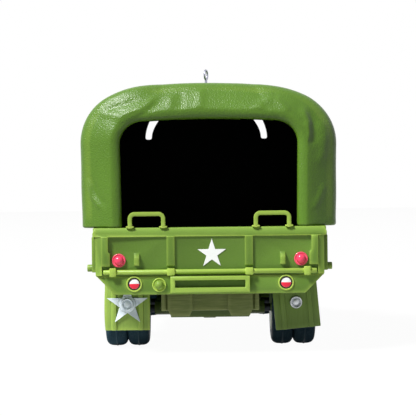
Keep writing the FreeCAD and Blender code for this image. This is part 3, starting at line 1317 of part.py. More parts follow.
def fuel_tank():
    """The right-hand tank with round edges, held on the rail by two straps' feet."""
    y0 = TANK_Y
    x0 = RAIL_OUTER_X + TANK_STANDOFF
    tank = block(x0, x0 + TANK_DEPTH, y0, y0 + TANK_LENGTH, RAIL_TOP_Z - TANK_HEIGHT, RAIL_TOP_Z)
    along = [e for e in tank.Edges if e.BoundBox.YLength > TANK_LENGTH - TANK_ROUND]
    tank = tank.makeFillet(TANK_ROUND, along)
    shapes = [tank]
    for y in (y0 + TANK_ROUND, y0 + TANK_LENGTH - TANK_ROUND * 2):
        shapes.append(block(RAIL_OUTER_X, x0 + TANK_ROUND, y, y + TANK_ROUND,
                            RAIL_TOP_Z - RAIL_HEIGHT, RAIL_TOP_Z - TANK_ROUND))
    return joined(shapes)


def battery_box():
    """The left-hand box with its lid, held on the rail."""
    y0 = TANK_Y
    x0 = RAIL_OUTER_X + TANK_STANDOFF
    low = RAIL_TOP_Z - BOX_HEIGHT
    case = block(x0, x0 + BOX_DEPTH, y0, y0 + BOX_LENGTH, low, RAIL_TOP_Z - BOX_LID)
    lid = block(x0 - BOX_LID_PROUD, x0 + BOX_DEPTH + BOX_LID_PROUD, y0 - BOX_LID_PROUD,
                y0 + BOX_LENGTH + BOX_LID_PROUD, RAIL_TOP_Z - BOX_LID, RAIL_TOP_Z)
    foot = block(RAIL_OUTER_X, x0 + BOX_LID, y0 + BOX_LENGTH / 4, y0 + BOX_LENGTH * 3 / 4,
                 RAIL_TOP_Z - RAIL_HEIGHT, RAIL_TOP_Z - BOX_LID)
    return mirrored(joined([case, lid, foot]))


def exhaust_stack():
    """The upright exhaust on the right fender, with its muffler and an open top."""
    base = FENDER_TOP_Z
    low = base + STACK_MUFFLER_START
    high = low + STACK_MUFFLER_LENGTH
    top = base + STACK_HEIGHT
    bore = STACK_RADIUS * math.sqrt(0.5)
    y = CAB_FRONT_Y + STACK_AHEAD_OF_CAB
    profile = [
        (base, 0),
        (base, STACK_RADIUS),
        (low, STACK_RADIUS),
        (low + STACK_CONE, STACK_MUFFLER_RADIUS),
        (high - STACK_CONE, STACK_MUFFLER_RADIUS),
        (high, STACK_RADIUS),
        (top, STACK_RADIUS),
        (top, bore),
        (top - STACK_CONE, bore),
        (top - STACK_CONE, 0),
    ]
    return flatted(profile, ROD_SIDES, (STACK_X, y, 0), (0, 0, 1), (1, 0, 0))


def front_nodes():
    """Cab, hood, fenders and what is on them."""
    door = cab_door()
    wing = fender()
    board = running_board()
    nodes = {
        "cab_body": cab_body(),
        "cab_top": cab_top(),
        "cab_door_left": mirrored(door),
        "cab_door_right": door,
        "cab_seat": cab_seat(),
        "steering_wheel": steering_wheel(),
        "hood": hood(),
        "front_fender_left": mirrored(wing),
        "front_fender_right": wing,
        "grille": grille(),
        "front_bumper": front_bumper(),
        "headlamps": Part.makeCompound(both_sides(headlamp())),
        "running_board_left": mirrored(board),
        "running_board_right": board,
        "fuel_tank": fuel_tank(),
        "battery_box": battery_box(),
        "exhaust_stack": exhaust_stack(),
    }
    nodes.update(windshield_nodes())
    return nodes


def all_nodes():
    """Every piece of the truck by name."""
    nodes = {
        "chassis_frame": chassis_frame(),
        "rear_crossmember": rear_crossmember(),
        "bed_tub": bed_tub(),
        "canopy": canopy(),
        "hanger_eyelet": hanger_eyelet(),
    }
    nodes.update(tail_nodes())
    nodes.update(front_nodes())
    nodes.update(running_gear_nodes())
    nodes.update(wheel_nodes())
    return nodes


os.makedirs("parts", exist_ok=True)
for node_name, node_shape in all_nodes().items():
    node_shape.exportStep("parts/" + node_name + ".step")
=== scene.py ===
"""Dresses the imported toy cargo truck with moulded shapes, finishes, studio light and a camera."""

import logging
import math
from dataclasses import dataclass, field
from enum import Enum
from typing import Callable, Sequence

import bmesh
import bpy
from mathutils import Matrix, Vector, noise


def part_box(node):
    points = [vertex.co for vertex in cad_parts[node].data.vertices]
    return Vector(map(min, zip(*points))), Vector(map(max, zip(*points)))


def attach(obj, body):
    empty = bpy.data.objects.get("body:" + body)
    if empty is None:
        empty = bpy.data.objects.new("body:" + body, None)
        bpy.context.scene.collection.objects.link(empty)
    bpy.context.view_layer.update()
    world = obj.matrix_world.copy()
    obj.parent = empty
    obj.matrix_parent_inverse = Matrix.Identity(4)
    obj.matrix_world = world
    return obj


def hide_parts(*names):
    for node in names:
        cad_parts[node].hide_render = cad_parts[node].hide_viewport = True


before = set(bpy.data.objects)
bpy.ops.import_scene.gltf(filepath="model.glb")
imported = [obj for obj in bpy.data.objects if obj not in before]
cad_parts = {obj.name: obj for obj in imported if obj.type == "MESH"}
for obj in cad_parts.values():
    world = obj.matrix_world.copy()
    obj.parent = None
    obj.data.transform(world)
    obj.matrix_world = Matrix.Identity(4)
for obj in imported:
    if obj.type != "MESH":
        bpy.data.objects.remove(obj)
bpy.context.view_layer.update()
LOG = logging.getLogger("toy_truck")

MM = 0.001

# The parts of a noise texture's range that specks, drifts and lines use, and light inside the plastic
NOISE_SPAN = (0.3, 0.7)
DRIFT_SPAN = (0.2, 0.8)
LINE_SPAN = (0.35, 0.75)
GLOW_SCALE = 0.0012
GLOW_RADIUS = (0.7, 1.0, 0.25)
MASK_SAMPLES = 6
SPECKS_PER_PEBBLE = 2.3

# Waves in a millimetre of the canopy's slow drapes, ridges and lumps
DRAPE_WAVES = Matrix(((0.055, 0.0, 0.0), (0.0, 0.16, 0.0), (0.03, 0.0, 0.055)))
RIDGE_WAVES = Matrix(((0.05, 0.0, 0.0), (0.0, 0.22, 0.05), (0.0, 0.0, 0.09)))
RIDGE_START = Vector((7.0, 0.0, 0.0))
LUMP_WAVES = 0.16
LUMP_START = Vector((0.0, 0.0, 3.0))

Rgba = tuple[float, float, float, float]
Triple = tuple[float, float, float]
Pair = tuple[float, float]
Points = list[Triple]
Faces = list[tuple[int, ...]]
Shape = tuple[Points, Faces]
Line = list[Pair]
Profile = Sequence[Pair]
Test = Callable[[Vector, Vector], bool]
Socket = bpy.types.NodeSocket
Tree = bpy.types.NodeTree


# Colours and small shared tools

def srgb(red: float, green: float, blue: float) -> Rgba:
    """Turns a colour written 0 to 255 into the linear colour that shaders use.

    Args:
        red: Red, 0 to 255.
        green: Green, 0 to 255.
        blue: Blue, 0 to 255.

    Returns:
        Linear red, green, blue and a full alpha.
    """
    linear = []
    for value in (red, green, blue):
        share = value / 255
        linear.append(share / 12.92 if share <= 0.04045 else ((share + 0.055) / 1.055) ** 2.4)
    return (linear[0], linear[1], linear[2], 1.0)


def smooth(value: float) -> float:
    """Eases a share from 0 to 1."""
    held = min(1.0, max(0.0, value))
    return held * held * (3 - 2 * held)


def ramp(value: float, start: float, length: float) -> float:
    """Eases from 0 at a start to 1 a length further on."""
    return smooth((value - start) / length)


def linked(name: str, data: bpy.types.ID) -> bpy.types.Object:
    """Puts a new object with this data into the scene."""
    made = bpy.data.objects.new(name, data)
    bpy.context.scene.collection.objects.link(made)
    return made


def applied(made: bpy.types.Object) -> bpy.types.Mesh:
    """Gives an object's mesh as its modifiers leave it."""
    return bpy.data.meshes.new_from_object(made.evaluated_get(bpy.context.evaluated_depsgraph_get()))


def node_box(node: str) -> tuple[Vector, Vector]:
    """Gives a CAD node's lowest and highest corner in millimetres."""
    low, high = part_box(node)
    return low / MM, high / MM


class Along(Enum):
    """The direction that a turned piece's axis points in."""

    RIGHT = "x"
    AHEAD = "y"
    BACK = "-y"
    UP = "z"

    def matrix(self) -> Matrix:
        """Turns a piece made about +Z so that its axis points this way."""
        turns = {
            Along.RIGHT: Matrix.Rotation(math.pi / 2, 4, "Y"),
            Along.AHEAD: Matrix.Rotation(-math.pi / 2, 4, "X"),
            Along.BACK: Matrix.Rotation(math.pi / 2, 4, "X"),
            Along.UP: Matrix.Identity(4),
        }
        return turns[self]


class Body(Enum):
    """The CAD bodies that pieces ride on."""

    TRUCK = "truck"
    FRONT = "front_wheels"
    MID = "mid_wheels"
    REAR = "rear_wheels"


class Slot(Enum):
    """The record's material slots."""

    OLIVE = "olive_plastic"
    DARK_OLIVE = "dark_olive_plastic"
    BROWN = "brown_plastic"
    BLACK = "black_plastic"
    TYRE = "tyre_black"
    RED_LENS = "red_lens"
    WHITE = "white_paint"
    WIRE = "steel_wire"
    RIVET = "bright_rivet"
    CLEAR_LENS = "clear_lens"
    GLASS = "window_glass"


# Shader nodes

class TreeBuilder:
    """Adds nodes to a node tree and joins them."""

    def __init__(self, tree: Tree) -> None:
        """Starts with a tree."""
        self.tree = tree

    def node(self, kind: str, **settings: object) -> bpy.types.Node:
        """Adds a node and sets its attributes.

        Args:
            kind: The node's type.
            **settings: Attributes to set on it.

        Returns:
            The new node.
        """
        made = self.tree.nodes.new(kind)
        for name, value in settings.items():
            setattr(made, name, value)
        return made

    def fill(self, socket: Socket, value: object) -> None:
        """Links an input to another socket, or sets it to a plain value where one is given."""
        if isinstance(value, Socket):
            self.tree.links.new(value, socket)
        elif value is not None:
            socket.default_value = value

    def place(self) -> Socket:
        """Gives the place on the piece, in metres in the truck's own frame."""
        return self.node("ShaderNodeTexCoord").outputs["Object"]

    def maths(self, operation: str, first: object, second: object = None, clamp: bool = False) -> Socket:
        """Adds a Math node.

        Args:
            operation: The sum to do.
            first: A socket or a number.
            second: A socket or a number, where the sum has two.
            clamp: Whether the result is held between 0 and 1.

        Returns:
            The result's socket.
        """
        made = self.node("ShaderNodeMath", operation=operation, use_clamp=clamp)
        for socket, value in zip(made.inputs, (first, second)):
            self.fill(socket, value)
        return made.outputs[0]

    def spread(self, value: Socket, low: float, high: float, start: float = 0.0, end: float = 1.0) -> Socket:
        """Maps a value between start and end onto low to high.

        Args:
            value: The value to map.
            low: What start becomes.
            high: What end becomes.
            start: The lowest value read.
            end: The highest value read.

        Returns:
            The mapped value.
        """
        made = self.node("ShaderNodeMapRange")
        names = ("Value", "From Min", "From Max", "To Min", "To Max")
        for name, given in zip(names, (value, start, end, low, high)):
            self.fill(made.inputs[name], given)
        return made.outputs["Result"]

    def mix(self, factor: object, first: object, second: object, blend: str = "MIX") -> Socket:
        """Mixes two colours.

        Args:
            factor: How much of the second shows, as a socket or a number.
            first: A colour or a socket.
            second: A colour or a socket.
            blend: The way they mix.

        Returns:
            The mixed colour.
        """
        made = self.node("ShaderNodeMix", data_type="RGBA", blend_type=blend)
        self.fill(made.inputs["Factor"], factor)
        for socket, value in zip([s for s in made.inputs if s.type == "RGBA"], (first, second)):
            self.fill(socket, value)
        return [s for s in made.outputs if s.type == "RGBA"][0]


class GroupBuilder(TreeBuilder):
    """Makes a shader node group with named sockets."""

    def __init__(self, name: str) -> None:
        """Starts an empty group with this name."""
        super().__init__(bpy.data.node_groups.new(name, "ShaderNodeTree"))
        self.entry = self.node("NodeGroupInput")
        self.exit = self.node("NodeGroupOutput")

    def take(self, name: str, default: float | Triple) -> None:
        """Adds a number or vector input with its default."""
        kind = "NodeSocketVector" if isinstance(default, tuple) else "NodeSocketFloat"
        socket = self.tree.interface.new_socket(name, in_out="INPUT", socket_type=kind)
        socket.default_value = default

    def give(self, name: str, value: Socket) -> None:
        """Adds a number output and sends a value out through it."""
        self.tree.interface.new_socket(name, in_out="OUTPUT", socket_type="NodeSocketFloat")
        self.fill(self.exit.inputs[name], value)

    def noise(self, scale: object, detail: float, rough: float, vector: Socket) -> Socket:
        """Adds a noise texture.

        Args:
            scale: Waves in a metre, as a socket or a number.
            detail: How many finer layers are added.
            rough: How strong the finer layers are.
            vector: The place to read it at.

        Returns:
            The noise, about 0.5 on average.
        """
        made = self.node("ShaderNodeTexNoise")
        names = ("Scale", "Detail", "Roughness", "Vector")
        for name, value in zip(names, (scale, detail, rough, vector)):
            self.fill(made.inputs[name], value)
        return made.outputs["Fac"]


def painted_edge_highlight_group() -> Tree:
    """A mask that is bright along a piece's edges, where a paler colour is painted as a highlight."""
    group = GroupBuilder("painted_edge_highlight")
    group.take("Width", 0.0004)
    group.take("Gain", 3.0)
    bevel = group.node("ShaderNodeBevel", samples=MASK_SAMPLES)
    group.fill(bevel.inputs["Radius"], group.entry.outputs["Width"])
    geometry = group.node("ShaderNodeNewGeometry")
    dot = group.node("ShaderNodeVectorMath", operation="DOT_PRODUCT")
    group.fill(dot.inputs[0], bevel.outputs["Normal"])
    group.fill(dot.inputs[1], geometry.outputs["Normal"])
    bend = group.maths("SUBTRACT", 1.0, dot.outputs["Value"], clamp=True)
    group.give("Mask", group.maths("MULTIPLY", bend, group.entry.outputs["Gain"], clamp=True))
    return group.tree


def painted_thin_light_group() -> Tree:
    """A mask that is bright where the plastic is thin or turns an outer corner, and dark on broad faces; it
    places painted light on raised parts.
    """
    group = GroupBuilder("painted_thin_light")
    group.take("Reach", 0.0009)
    group.take("Gain", 1.6)
    inside = group.node("ShaderNodeAmbientOcclusion", samples=MASK_SAMPLES, inside=True, only_local=True)
    group.fill(inside.inputs["Distance"], group.entry.outputs["Reach"])
    shallow = group.maths("SUBTRACT", 1.0, inside.outputs["AO"], clamp=True)
    group.give("Mask", group.maths("MULTIPLY", shallow, group.entry.outputs["Gain"], clamp=True))
    return group.tree


def moulded_grain_group() -> Tree:
    """The fine pebble of a moulded face, a slow drift of its shade and specks of sheen."""
    group = GroupBuilder("moulded_grain")
    group.take("Pebbles", 2600.0)
    group.take("Drift", 90.0)
    place = group.place()
    group.give("Height", group.noise(group.entry.outputs["Pebbles"], 2.0, 0.55, place))
    group.give("Shade", group.noise(group.entry.outputs["Drift"], 3.0, 0.6, place))
    fine = group.maths("MULTIPLY", group.entry.outputs["Pebbles"], SPECKS_PER_PEBBLE)
    group.give("Speck", group.noise(fine, 1.0, 0.5, place))
    return group.tree


def drag_lines_group() -> Tree:
    """Fine lines drawn out along one direction, from the mould's tooling."""
    group = GroupBuilder("drag_lines")
    group.take("Stretch", (200.0, 200.0, 4000.0))
    scaled = group.node("ShaderNodeVectorMath", operation="MULTIPLY")
    group.fill(scaled.inputs[0], group.place())
    group.fill(scaled.inputs[1], group.entry.outputs["Stretch"])
    group.give("Line", group.noise(1.0, 2.0, 0.6, scaled.outputs["Vector"]))
    return group.tree


@dataclass
class GroupShelf:
    """The node groups, each built once."""

    painted_edge_highlight: Tree = field(default_factory=painted_edge_highlight_group)
    painted_thin_light: Tree = field(default_factory=painted_thin_light_group)
    moulded_grain: Tree = field(default_factory=moulded_grain_group)
    drag_lines: Tree = field(default_factory=drag_lines_group)


# Finishes

class MaterialBuilder(TreeBuilder):
    """Makes one material around a Principled shader."""

    def __init__(self, name: str) -> None:
        """Starts a material with this name."""
        self.material = bpy.data.materials.new(name)
        self.material.use_nodes = True
        super().__init__(self.material.node_tree)
        self.shader = self.tree.nodes["Principled BSDF"]

    def set(self, **values: object) -> None:
        """Sets the shader's own sockets, with spaces written as underscores."""
        for name, value in values.items():
            self.shader.inputs[name.replace("_", " ")].default_value = value

    def group(self, tree: Tree, **values: object) -> bpy.types.Node:
        """Places a node group with its own values.

        Args:
            tree: The group.
            **values: Its inputs.

        Returns:
            The group's node.
        """
        made = self.node("ShaderNodeGroup", node_tree=tree)
        for name, value in values.items():
            made.inputs[name].default_value = value
        return made

    def bump(self, height: Socket, depth: float, under: Socket | None = None) -> Socket:
        """Turns a height into a normal.

        Args:
            height: The height, 0 to 1.
            depth: How deep 1 is, in metres.
            under: A normal to start from.

        Returns:
            The normal.
        """
        made = self.node("ShaderNodeBump")
        for name, value in (("Distance", depth), ("Height", height), ("Normal", under)):
            self.fill(made.inputs[name], value)
        return made.outputs["Normal"]

    def feed(self, socket: str, value: Socket) -> None:
        """Links a value to one of the shader's sockets."""
        self.fill(self.shader.inputs[socket], value)


@dataclass(frozen=True)
class MouldedPlastic:
    """Moulded plastic, with a paler, yellower colour painted on thin parts, outer corners and edges as painted
    light and painted highlight.
    """

    name: str
    colour: Triple
    highlight_and_streak_colour: Triple
    edge_gain: float = 2.4
    edge_width: float = 0.00016
    thin_reach: float = 0.0009
    thin_gain: float = 1.0
    roughness: float = 0.34
    pebbles: float = 2600.0
    pebble_depth: float = 0.00002
    drift: float = 0.05
    glow: float = 0.0
    gloss: float = 0.2
    stretch: Triple | None = None
    line_depth: float = 0.00002
    line_share: float = 0.35
    sheen_specks: float = 0.12

    def build(self, made: MaterialBuilder, groups: GroupShelf) -> None:
        """Adds the finish to a material.

        Args:
            made: The material.
            groups: The shared node groups.
        """
        grain = made.group(groups.moulded_grain, Pebbles=self.pebbles)
        edge = made.group(groups.painted_edge_highlight, Width=self.edge_width, Gain=self.edge_gain)
        thin = made.group(groups.painted_thin_light, Reach=self.thin_reach, Gain=self.thin_gain)
        # Painted light: the halfway colour goes on thin parts and outer corners, and the highlight colour along
        # edges.
        halfway = tuple((a + b * 3) / 4 for a, b in zip(self.colour, self.highlight_and_streak_colour))
        colour = made.mix(thin.outputs["Mask"], srgb(*self.colour), srgb(*halfway))
        colour = made.mix(edge.outputs["Mask"], colour, srgb(*self.highlight_and_streak_colour))
        shade = made.spread(grain.outputs["Shade"], 1 - self.drift * 2, 1 + self.drift * 2, *DRIFT_SPAN)
        grey = made.node("ShaderNodeCombineColor")
        for channel in ("Red", "Green", "Blue"):
            made.fill(grey.inputs[channel], shade)
        colour = made.mix(1.0, colour, grey.outputs["Color"], "MULTIPLY")
        normal = made.bump(grain.outputs["Height"], self.pebble_depth)
        if self.stretch is not None:
            lines = made.group(groups.drag_lines, Stretch=self.stretch)
            normal = made.bump(lines.outputs["Line"], self.line_depth, under=normal)
            tone = made.spread(lines.outputs["Line"], 0.0, self.line_share, *LINE_SPAN)
            colour = made.mix(tone, colour, srgb(*self.highlight_and_streak_colour))
        made.feed("Base Color", colour)
        made.feed("Normal", normal)
        low, high = self.roughness - self.sheen_specks, self.roughness + self.sheen_specks
        made.feed("Roughness", made.spread(grain.outputs["Speck"], low, high, *NOISE_SPAN))
        made.set(Specular_IOR_Level=self.gloss)
        if self.glow:
            made.set(Subsurface_Weight=self.glow, Subsurface_Scale=GLOW_SCALE, Subsurface_Radius=GLOW_RADIUS)


@dataclass(frozen=True)
class TyreRubber:
    """Black moulded rubber with a cold sheen, random dust, and a paler colour along its edges that is partly
    dust and partly painted highlight.
    """

    name: str
    colour: Triple = (32, 53, 64)
    dust_and_sheen: Triple = (60, 84, 96)
    dust_share: float = 0.25
    dust_span: Pair = (0.5, 0.75)
    roughness: float = 0.44
    sheen_specks: Pair = (-0.1, 0.14)
    pebble_depth: float = 0.000015
    gloss: float = 0.06

    def build(self, made: MaterialBuilder, groups: GroupShelf) -> None:
        """Adds the finish to a material.

        Args:
            made: The material.
            groups: The shared node groups.
        """
        grain = made.group(groups.moulded_grain, Pebbles=2200.0, Drift=160.0)
        # The edge mask paints the pale dust-and-sheen colour along edges, partly as dust and partly as painted
        # highlight.
        edge = made.group(groups.painted_edge_highlight, Width=0.0003, Gain=2.0)
        colour = made.mix(edge.outputs["Mask"], srgb(*self.colour), srgb(*self.dust_and_sheen))
        worn = made.spread(grain.outputs["Shade"], 0.0, self.dust_share, *self.dust_span)
        made.feed("Base Color", made.mix(worn, colour, srgb(*self.dust_and_sheen)))
        low, high = (self.roughness + step for step in self.sheen_specks)
        made.feed("Roughness", made.spread(grain.outputs["Speck"], low, high, *NOISE_SPAN))
        made.feed("Normal", made.bump(grain.outputs["Height"], self.pebble_depth))
        made.set(Specular_IOR_Level=self.gloss)


@dataclass(frozen=True)
class PaintedMark:
    """A printed mark with a slightly uneven coat."""

    name: str
    colour: Triple
    thin: Triple
    roughness: float = 0.4
    sheen_specks: float = 0.08
    wear: float = 0.3
    wear_span: Pair = (0.55, 0.8)
    pebble_depth: float = 0.00001
    gloss: float = 0.4

    def build(self, made: MaterialBuilder, groups: GroupShelf) -> None:
        """Adds the finish to a material.

        Args:
            made: The material.
            groups: The shared node groups.
        """
        grain = made.group(groups.moulded_grain, Pebbles=2600.0, Drift=700.0)
        worn = made.spread(grain.outputs["Shade"], 0.0, self.wear, *self.wear_span)
        made.feed("Base Color", made.mix(worn, srgb(*self.colour), srgb(*self.thin)))
        low, high = self.roughness - self.sheen_specks, self.roughness + self.sheen_specks
        made.feed("Roughness", made.spread(grain.outputs["Speck"], low, high))
        made.feed("Normal", made.bump(grain.outputs["Height"], self.pebble_depth))
        made.set(Specular_IOR_Level=self.gloss)


@dataclass(frozen=True)
class GlossyLens:
    """A lens of bright plastic, in one colour or in two above each other, with a pale painted highlight round
    its rim.
    """

    name: str
    lower: Triple
    upper: Triple
    split_z: float = -1.0
    split_waver: float = 0.00006
    split_blur: float = 0.00003
    rim: Triple = (255, 176, 190)
    roughness: float = 0.22
    coat: float = 0.4
    coat_roughness: float = 0.12
    gloss: float = 0.3
    pebble_depth: float = 0.000006

    def build(self, made: MaterialBuilder, groups: GroupShelf) -> None:
        """Adds the finish to a material.

        Args:
            made: The material.
            groups: The shared node groups.
        """
        grain = made.group(groups.moulded_grain, Pebbles=1500.0, Drift=500.0)
        apart = made.node("ShaderNodeSeparateXYZ")
        made.fill(apart.inputs[0], made.place())
        waver = made.spread(grain.outputs["Shade"], -self.split_waver, self.split_waver)
        height = made.maths("ADD", apart.outputs["Z"], waver)
        above = made.spread(height, 0.0, 1.0, self.split_z - self.split_blur, self.split_z + self.split_blur)
        colour = made.mix(above, srgb(*self.lower), srgb(*self.upper))
        # A pale painted highlight round the lens's rim, laid on by the edge mask.
        edge = made.group(groups.painted_edge_highlight, Width=0.00025, Gain=2.4)
        made.feed("Base Color", made.mix(edge.outputs["Mask"], colour, srgb(*self.rim)))
        made.feed("Roughness", made.spread(grain.outputs["Speck"], self.roughness - 0.04, self.roughness + 0.1))
        made.feed("Normal", made.bump(grain.outputs["Height"], self.pebble_depth))
        made.set(Coat_Weight=self.coat, Coat_Roughness=self.coat_roughness, Specular_IOR_Level=self.gloss)


@dataclass(frozen=True)
class BareMetal:
    """Drawn or pressed metal with fine scratches."""

    name: str
    colour: Triple
    roughness: float = 0.25
    stretch: Triple = (900.0, 900.0, 5000.0)
    dull_share: float = 0.72
    line_depth: float = 0.000004

    def build(self, made: MaterialBuilder, groups: GroupShelf) -> None:
        """Adds the finish to a material.

        Args:
            made: The material.
            groups: The shared node groups.
        """
        lines = made.group(groups.drag_lines, Stretch=self.stretch)
        grain = made.group(groups.moulded_grain, Pebbles=3000.0)
        dull = tuple(value * self.dull_share for value in self.colour)
        made.feed("Base Color", made.mix(lines.outputs["Line"], srgb(*self.colour), srgb(*dull)))
        made.feed("Roughness", made.spread(grain.outputs["Speck"], self.roughness - 0.08, self.roughness + 0.12,
                                           *NOISE_SPAN))
        made.feed("Normal", made.bump(lines.outputs["Line"], self.line_depth))
        made.set(Metallic=1.0)


@dataclass(frozen=True)
class ClearPlastic:
    """A thin clear pane or lens."""

    name: str
    colour: Triple
    roughness: float = 0.04
    tint_share: float = 0.96
    pebble_depth: float = 0.000004
    ior: float = 1.46

    def build(self, made: MaterialBuilder, groups: GroupShelf) -> None:
        """Adds the finish to a material.

        Args:
            made: The material.
            groups: The shared node groups.
        """
        grain = made.group(groups.moulded_grain, Pebbles=400.0, Drift=120.0)
        tint = tuple(value * self.tint_share for value in self.colour)
        made.feed("Base Color", made.mix(grain.outputs["Shade"], srgb(*self.colour), srgb(*tint)))
        made.feed("Roughness", made.spread(grain.outputs["Shade"], self.roughness, self.roughness + 0.05,
                                           *NOISE_SPAN))
        made.feed("Normal", made.bump(grain.outputs["Height"], self.pebble_depth))
        made.set(Transmission_Weight=1.0, IOR=self.ior)


# The pale olive painted as an edge highlight, also the tone of the flaps' tooling lines
OLIVE_HIGHLIGHT_AND_STREAK = (190, 214, 96)
REFLECTOR_RED = (236, 60, 96)
FLAP_STRETCH = (3000.0, 300.0, 180.0)
LAMP_SPLIT_Z = 13.75 * MM


class Finish(Enum):
    """Every finish on the truck."""

    OLIVE = MouldedPlastic("olive_moulded", (97, 129, 51), OLIVE_HIGHLIGHT_AND_STREAK, glow=0.1)
    # A paler copy of the olive, painted light for the rail, flanges, step and hinge rod
    OLIVE_PAINTED_LIGHT = MouldedPlastic("olive_painted_light", (122, 155, 66), OLIVE_HIGHLIGHT_AND_STREAK, glow=0.1)
    CANVAS = MouldedPlastic("canopy_moulded", (84, 122, 29), (160, 188, 76), edge_gain=1.2, thin_gain=0.5,
                            roughness=0.32, pebbles=3600.0, pebble_depth=0.0001, glow=0.1, gloss=0.36,
                            sheen_specks=0.1)
    # Near-black painted shade for the inside of the canopy, its mouth's reveal and the bed
    HOLD = MouldedPlastic("painted_shade_hold", (2, 7, 5), (6, 14, 9), edge_gain=0.6, thin_gain=0.4, roughness=0.6,
                          pebble_depth=0.00001, gloss=0.05)
    DARK_OLIVE = MouldedPlastic("dark_olive_moulded", (68, 86, 40), (112, 132, 60), roughness=0.42)
    BROWN = MouldedPlastic("brown_streaked", (86, 98, 50), (140, 146, 92), edge_gain=1.6, roughness=0.42,
                           stretch=(260.0, 260.0, 3600.0))
    # Lit and shaded copies of the flap plastic: painted light on the left flap, painted shade on the right
    FLAP_PAINTED_LIGHT = MouldedPlastic("flap_painted_light", (128, 156, 72), OLIVE_HIGHLIGHT_AND_STREAK, roughness=0.4, glow=0.1,
                          stretch=FLAP_STRETCH, line_depth=0.00001, line_share=0.14)
    FLAP_PAINTED_SHADE = MouldedPlastic("flap_painted_shade", (104, 130, 60), (150, 178, 92), roughness=0.4, glow=0.1,
                              stretch=FLAP_STRETCH, line_depth=0.00001, line_share=0.2)
    BLACK = MouldedPlastic("black_moulded", (16, 17, 17), (48, 50, 48), roughness=0.42)
    TYRE = TyreRubber("tyre_rubber")
    STAR = PaintedMark("white_star", (238, 240, 238), (222, 228, 222))
    FLAP_STAR = PaintedMark("silvery_star", (214, 224, 232), (146, 168, 188), wear=0.8)
    REFLECTOR = GlossyLens("red_reflector", REFLECTOR_RED, REFLECTOR_RED)
    LAMP = GlossyLens("red_white_lamp", (228, 18, 56), (232, 236, 236), split_z=LAMP_SPLIT_Z)
    WIRE = BareMetal("steel_wire", (186, 188, 204))
    ROD = BareMetal("dull_steel_rod", (70, 74, 80), roughness=0.5)
    RIVET = BareMetal("bright_rivet", (226, 230, 234), roughness=0.45)
    CHROME = BareMetal("bright_reflector", (235, 236, 232), roughness=0.1)
    LENS = ClearPlastic("clear_lens", (246, 248, 244))
    GLASS = ClearPlastic("window_pane", (232, 244, 238))


class PaintShop:
    """Builds each finish when it is first asked for."""

    def __init__(self) -> None:
        """Makes the node groups."""
        self.groups = GroupShelf()
        self.made: dict[Finish, bpy.types.Material] = {}

    def get(self, finish: Finish) -> bpy.types.Material:
        """Gives a finish's material, made once."""
        if finish not in self.made:
            made = MaterialBuilder(finish.value.name)
            finish.value.build(made, self.groups)
            self.made[finish] = made.material
        return self.made[finish]


# Meshes

def ring_faces(count: int, rings: int, closed: bool) -> Faces:
    """Joins rings of points with four-sided faces.

    Args:
        count: Points in each ring.
        rings: How many rings there are.
        closed: Whether the last ring joins the first.

    Returns:
        The faces.
    """
    faces: Faces = []
    for ring in range(rings if closed else rings - 1):
        start, after = ring * count, ((ring + 1) % rings) * count
        for i in range(count):
            j = (i + 1) % count
            faces.append((start + i, start + j, after + j, after + i))
    return faces


def turned(profile: Profile, sides: int, centre: Sequence[float], along: Along) -> Shape:
    """Turns a closed outline of places along an axis and radii all round it, in millimetres.

    Args:
        profile: Places along the axis and radii. A radius of 0 is a point on the axis.
        sides: How many steps there are round it.
        centre: The point that the places are measured from.
        along: The axis.

    Returns:
        Points and faces.
    """
    matrix = Matrix.Translation(Vector(centre)) @ along.matrix()
    points: Points = []
    for place, radius in profile:
        for i in range(sides):
            angle = math.tau * i / sides
            spot = matrix @ Vector((radius * math.cos(angle), radius * math.sin(angle), place))
            points.append(tuple(spot))
    closed = profile[0][1] > 0 and profile[-1][1] > 0
    return points, ring_faces(sides, len(profile), closed)


def swept(path: Sequence[Vector], outline: Profile, side: Vector, closed: bool = False) -> Shape:
    """Carries an outline along a path, in millimetres.

    Args:
        path: The points that the outline's middle follows.
        outline: The outline, across the path.
        side: A direction that is never along the path.
        closed: Whether the path's end joins its start.

    Returns:
        Points and faces, with flat ends on an open path.
    """
    points: Points = []
    last = len(path) - 1
    for i, spot in enumerate(path):
        before = path[i - 1] if i > 0 or closed else spot
        after = path[(i + 1) % len(path)] if i < last or closed else spot
        ahead = (after - before).normalized()
        across = side.cross(ahead).normalized()
        up = ahead.cross(across)
        for a, b in outline:
            points.append(tuple(spot + across * a + up * b))
    faces = ring_faces(len(outline), len(path), closed)
    if not closed:
        faces.append(tuple(reversed(range(len(outline)))))
        faces.append(tuple(range(last * len(outline), len(points))))
    return points, faces


def round_outline(radius: float, sides: int, power: float = 2.0) -> Line:
    """A closed round or square-round outline.

    Args:
        radius: Half its width.
        sides: How many points it has.
        power: 2 is round, and more is squarer.

    Returns:
        The outline's points.
    """
    outline = []
    for i in range(sides):
        angle = math.tau * (i + 0.5) / sides
        c, s = math.cos(angle), math.sin(angle)
        reach = (abs(c) ** power + abs(s) ** power) ** (-1 / power)
        outline.append((radius * reach * c, radius * reach * s))
    return outline


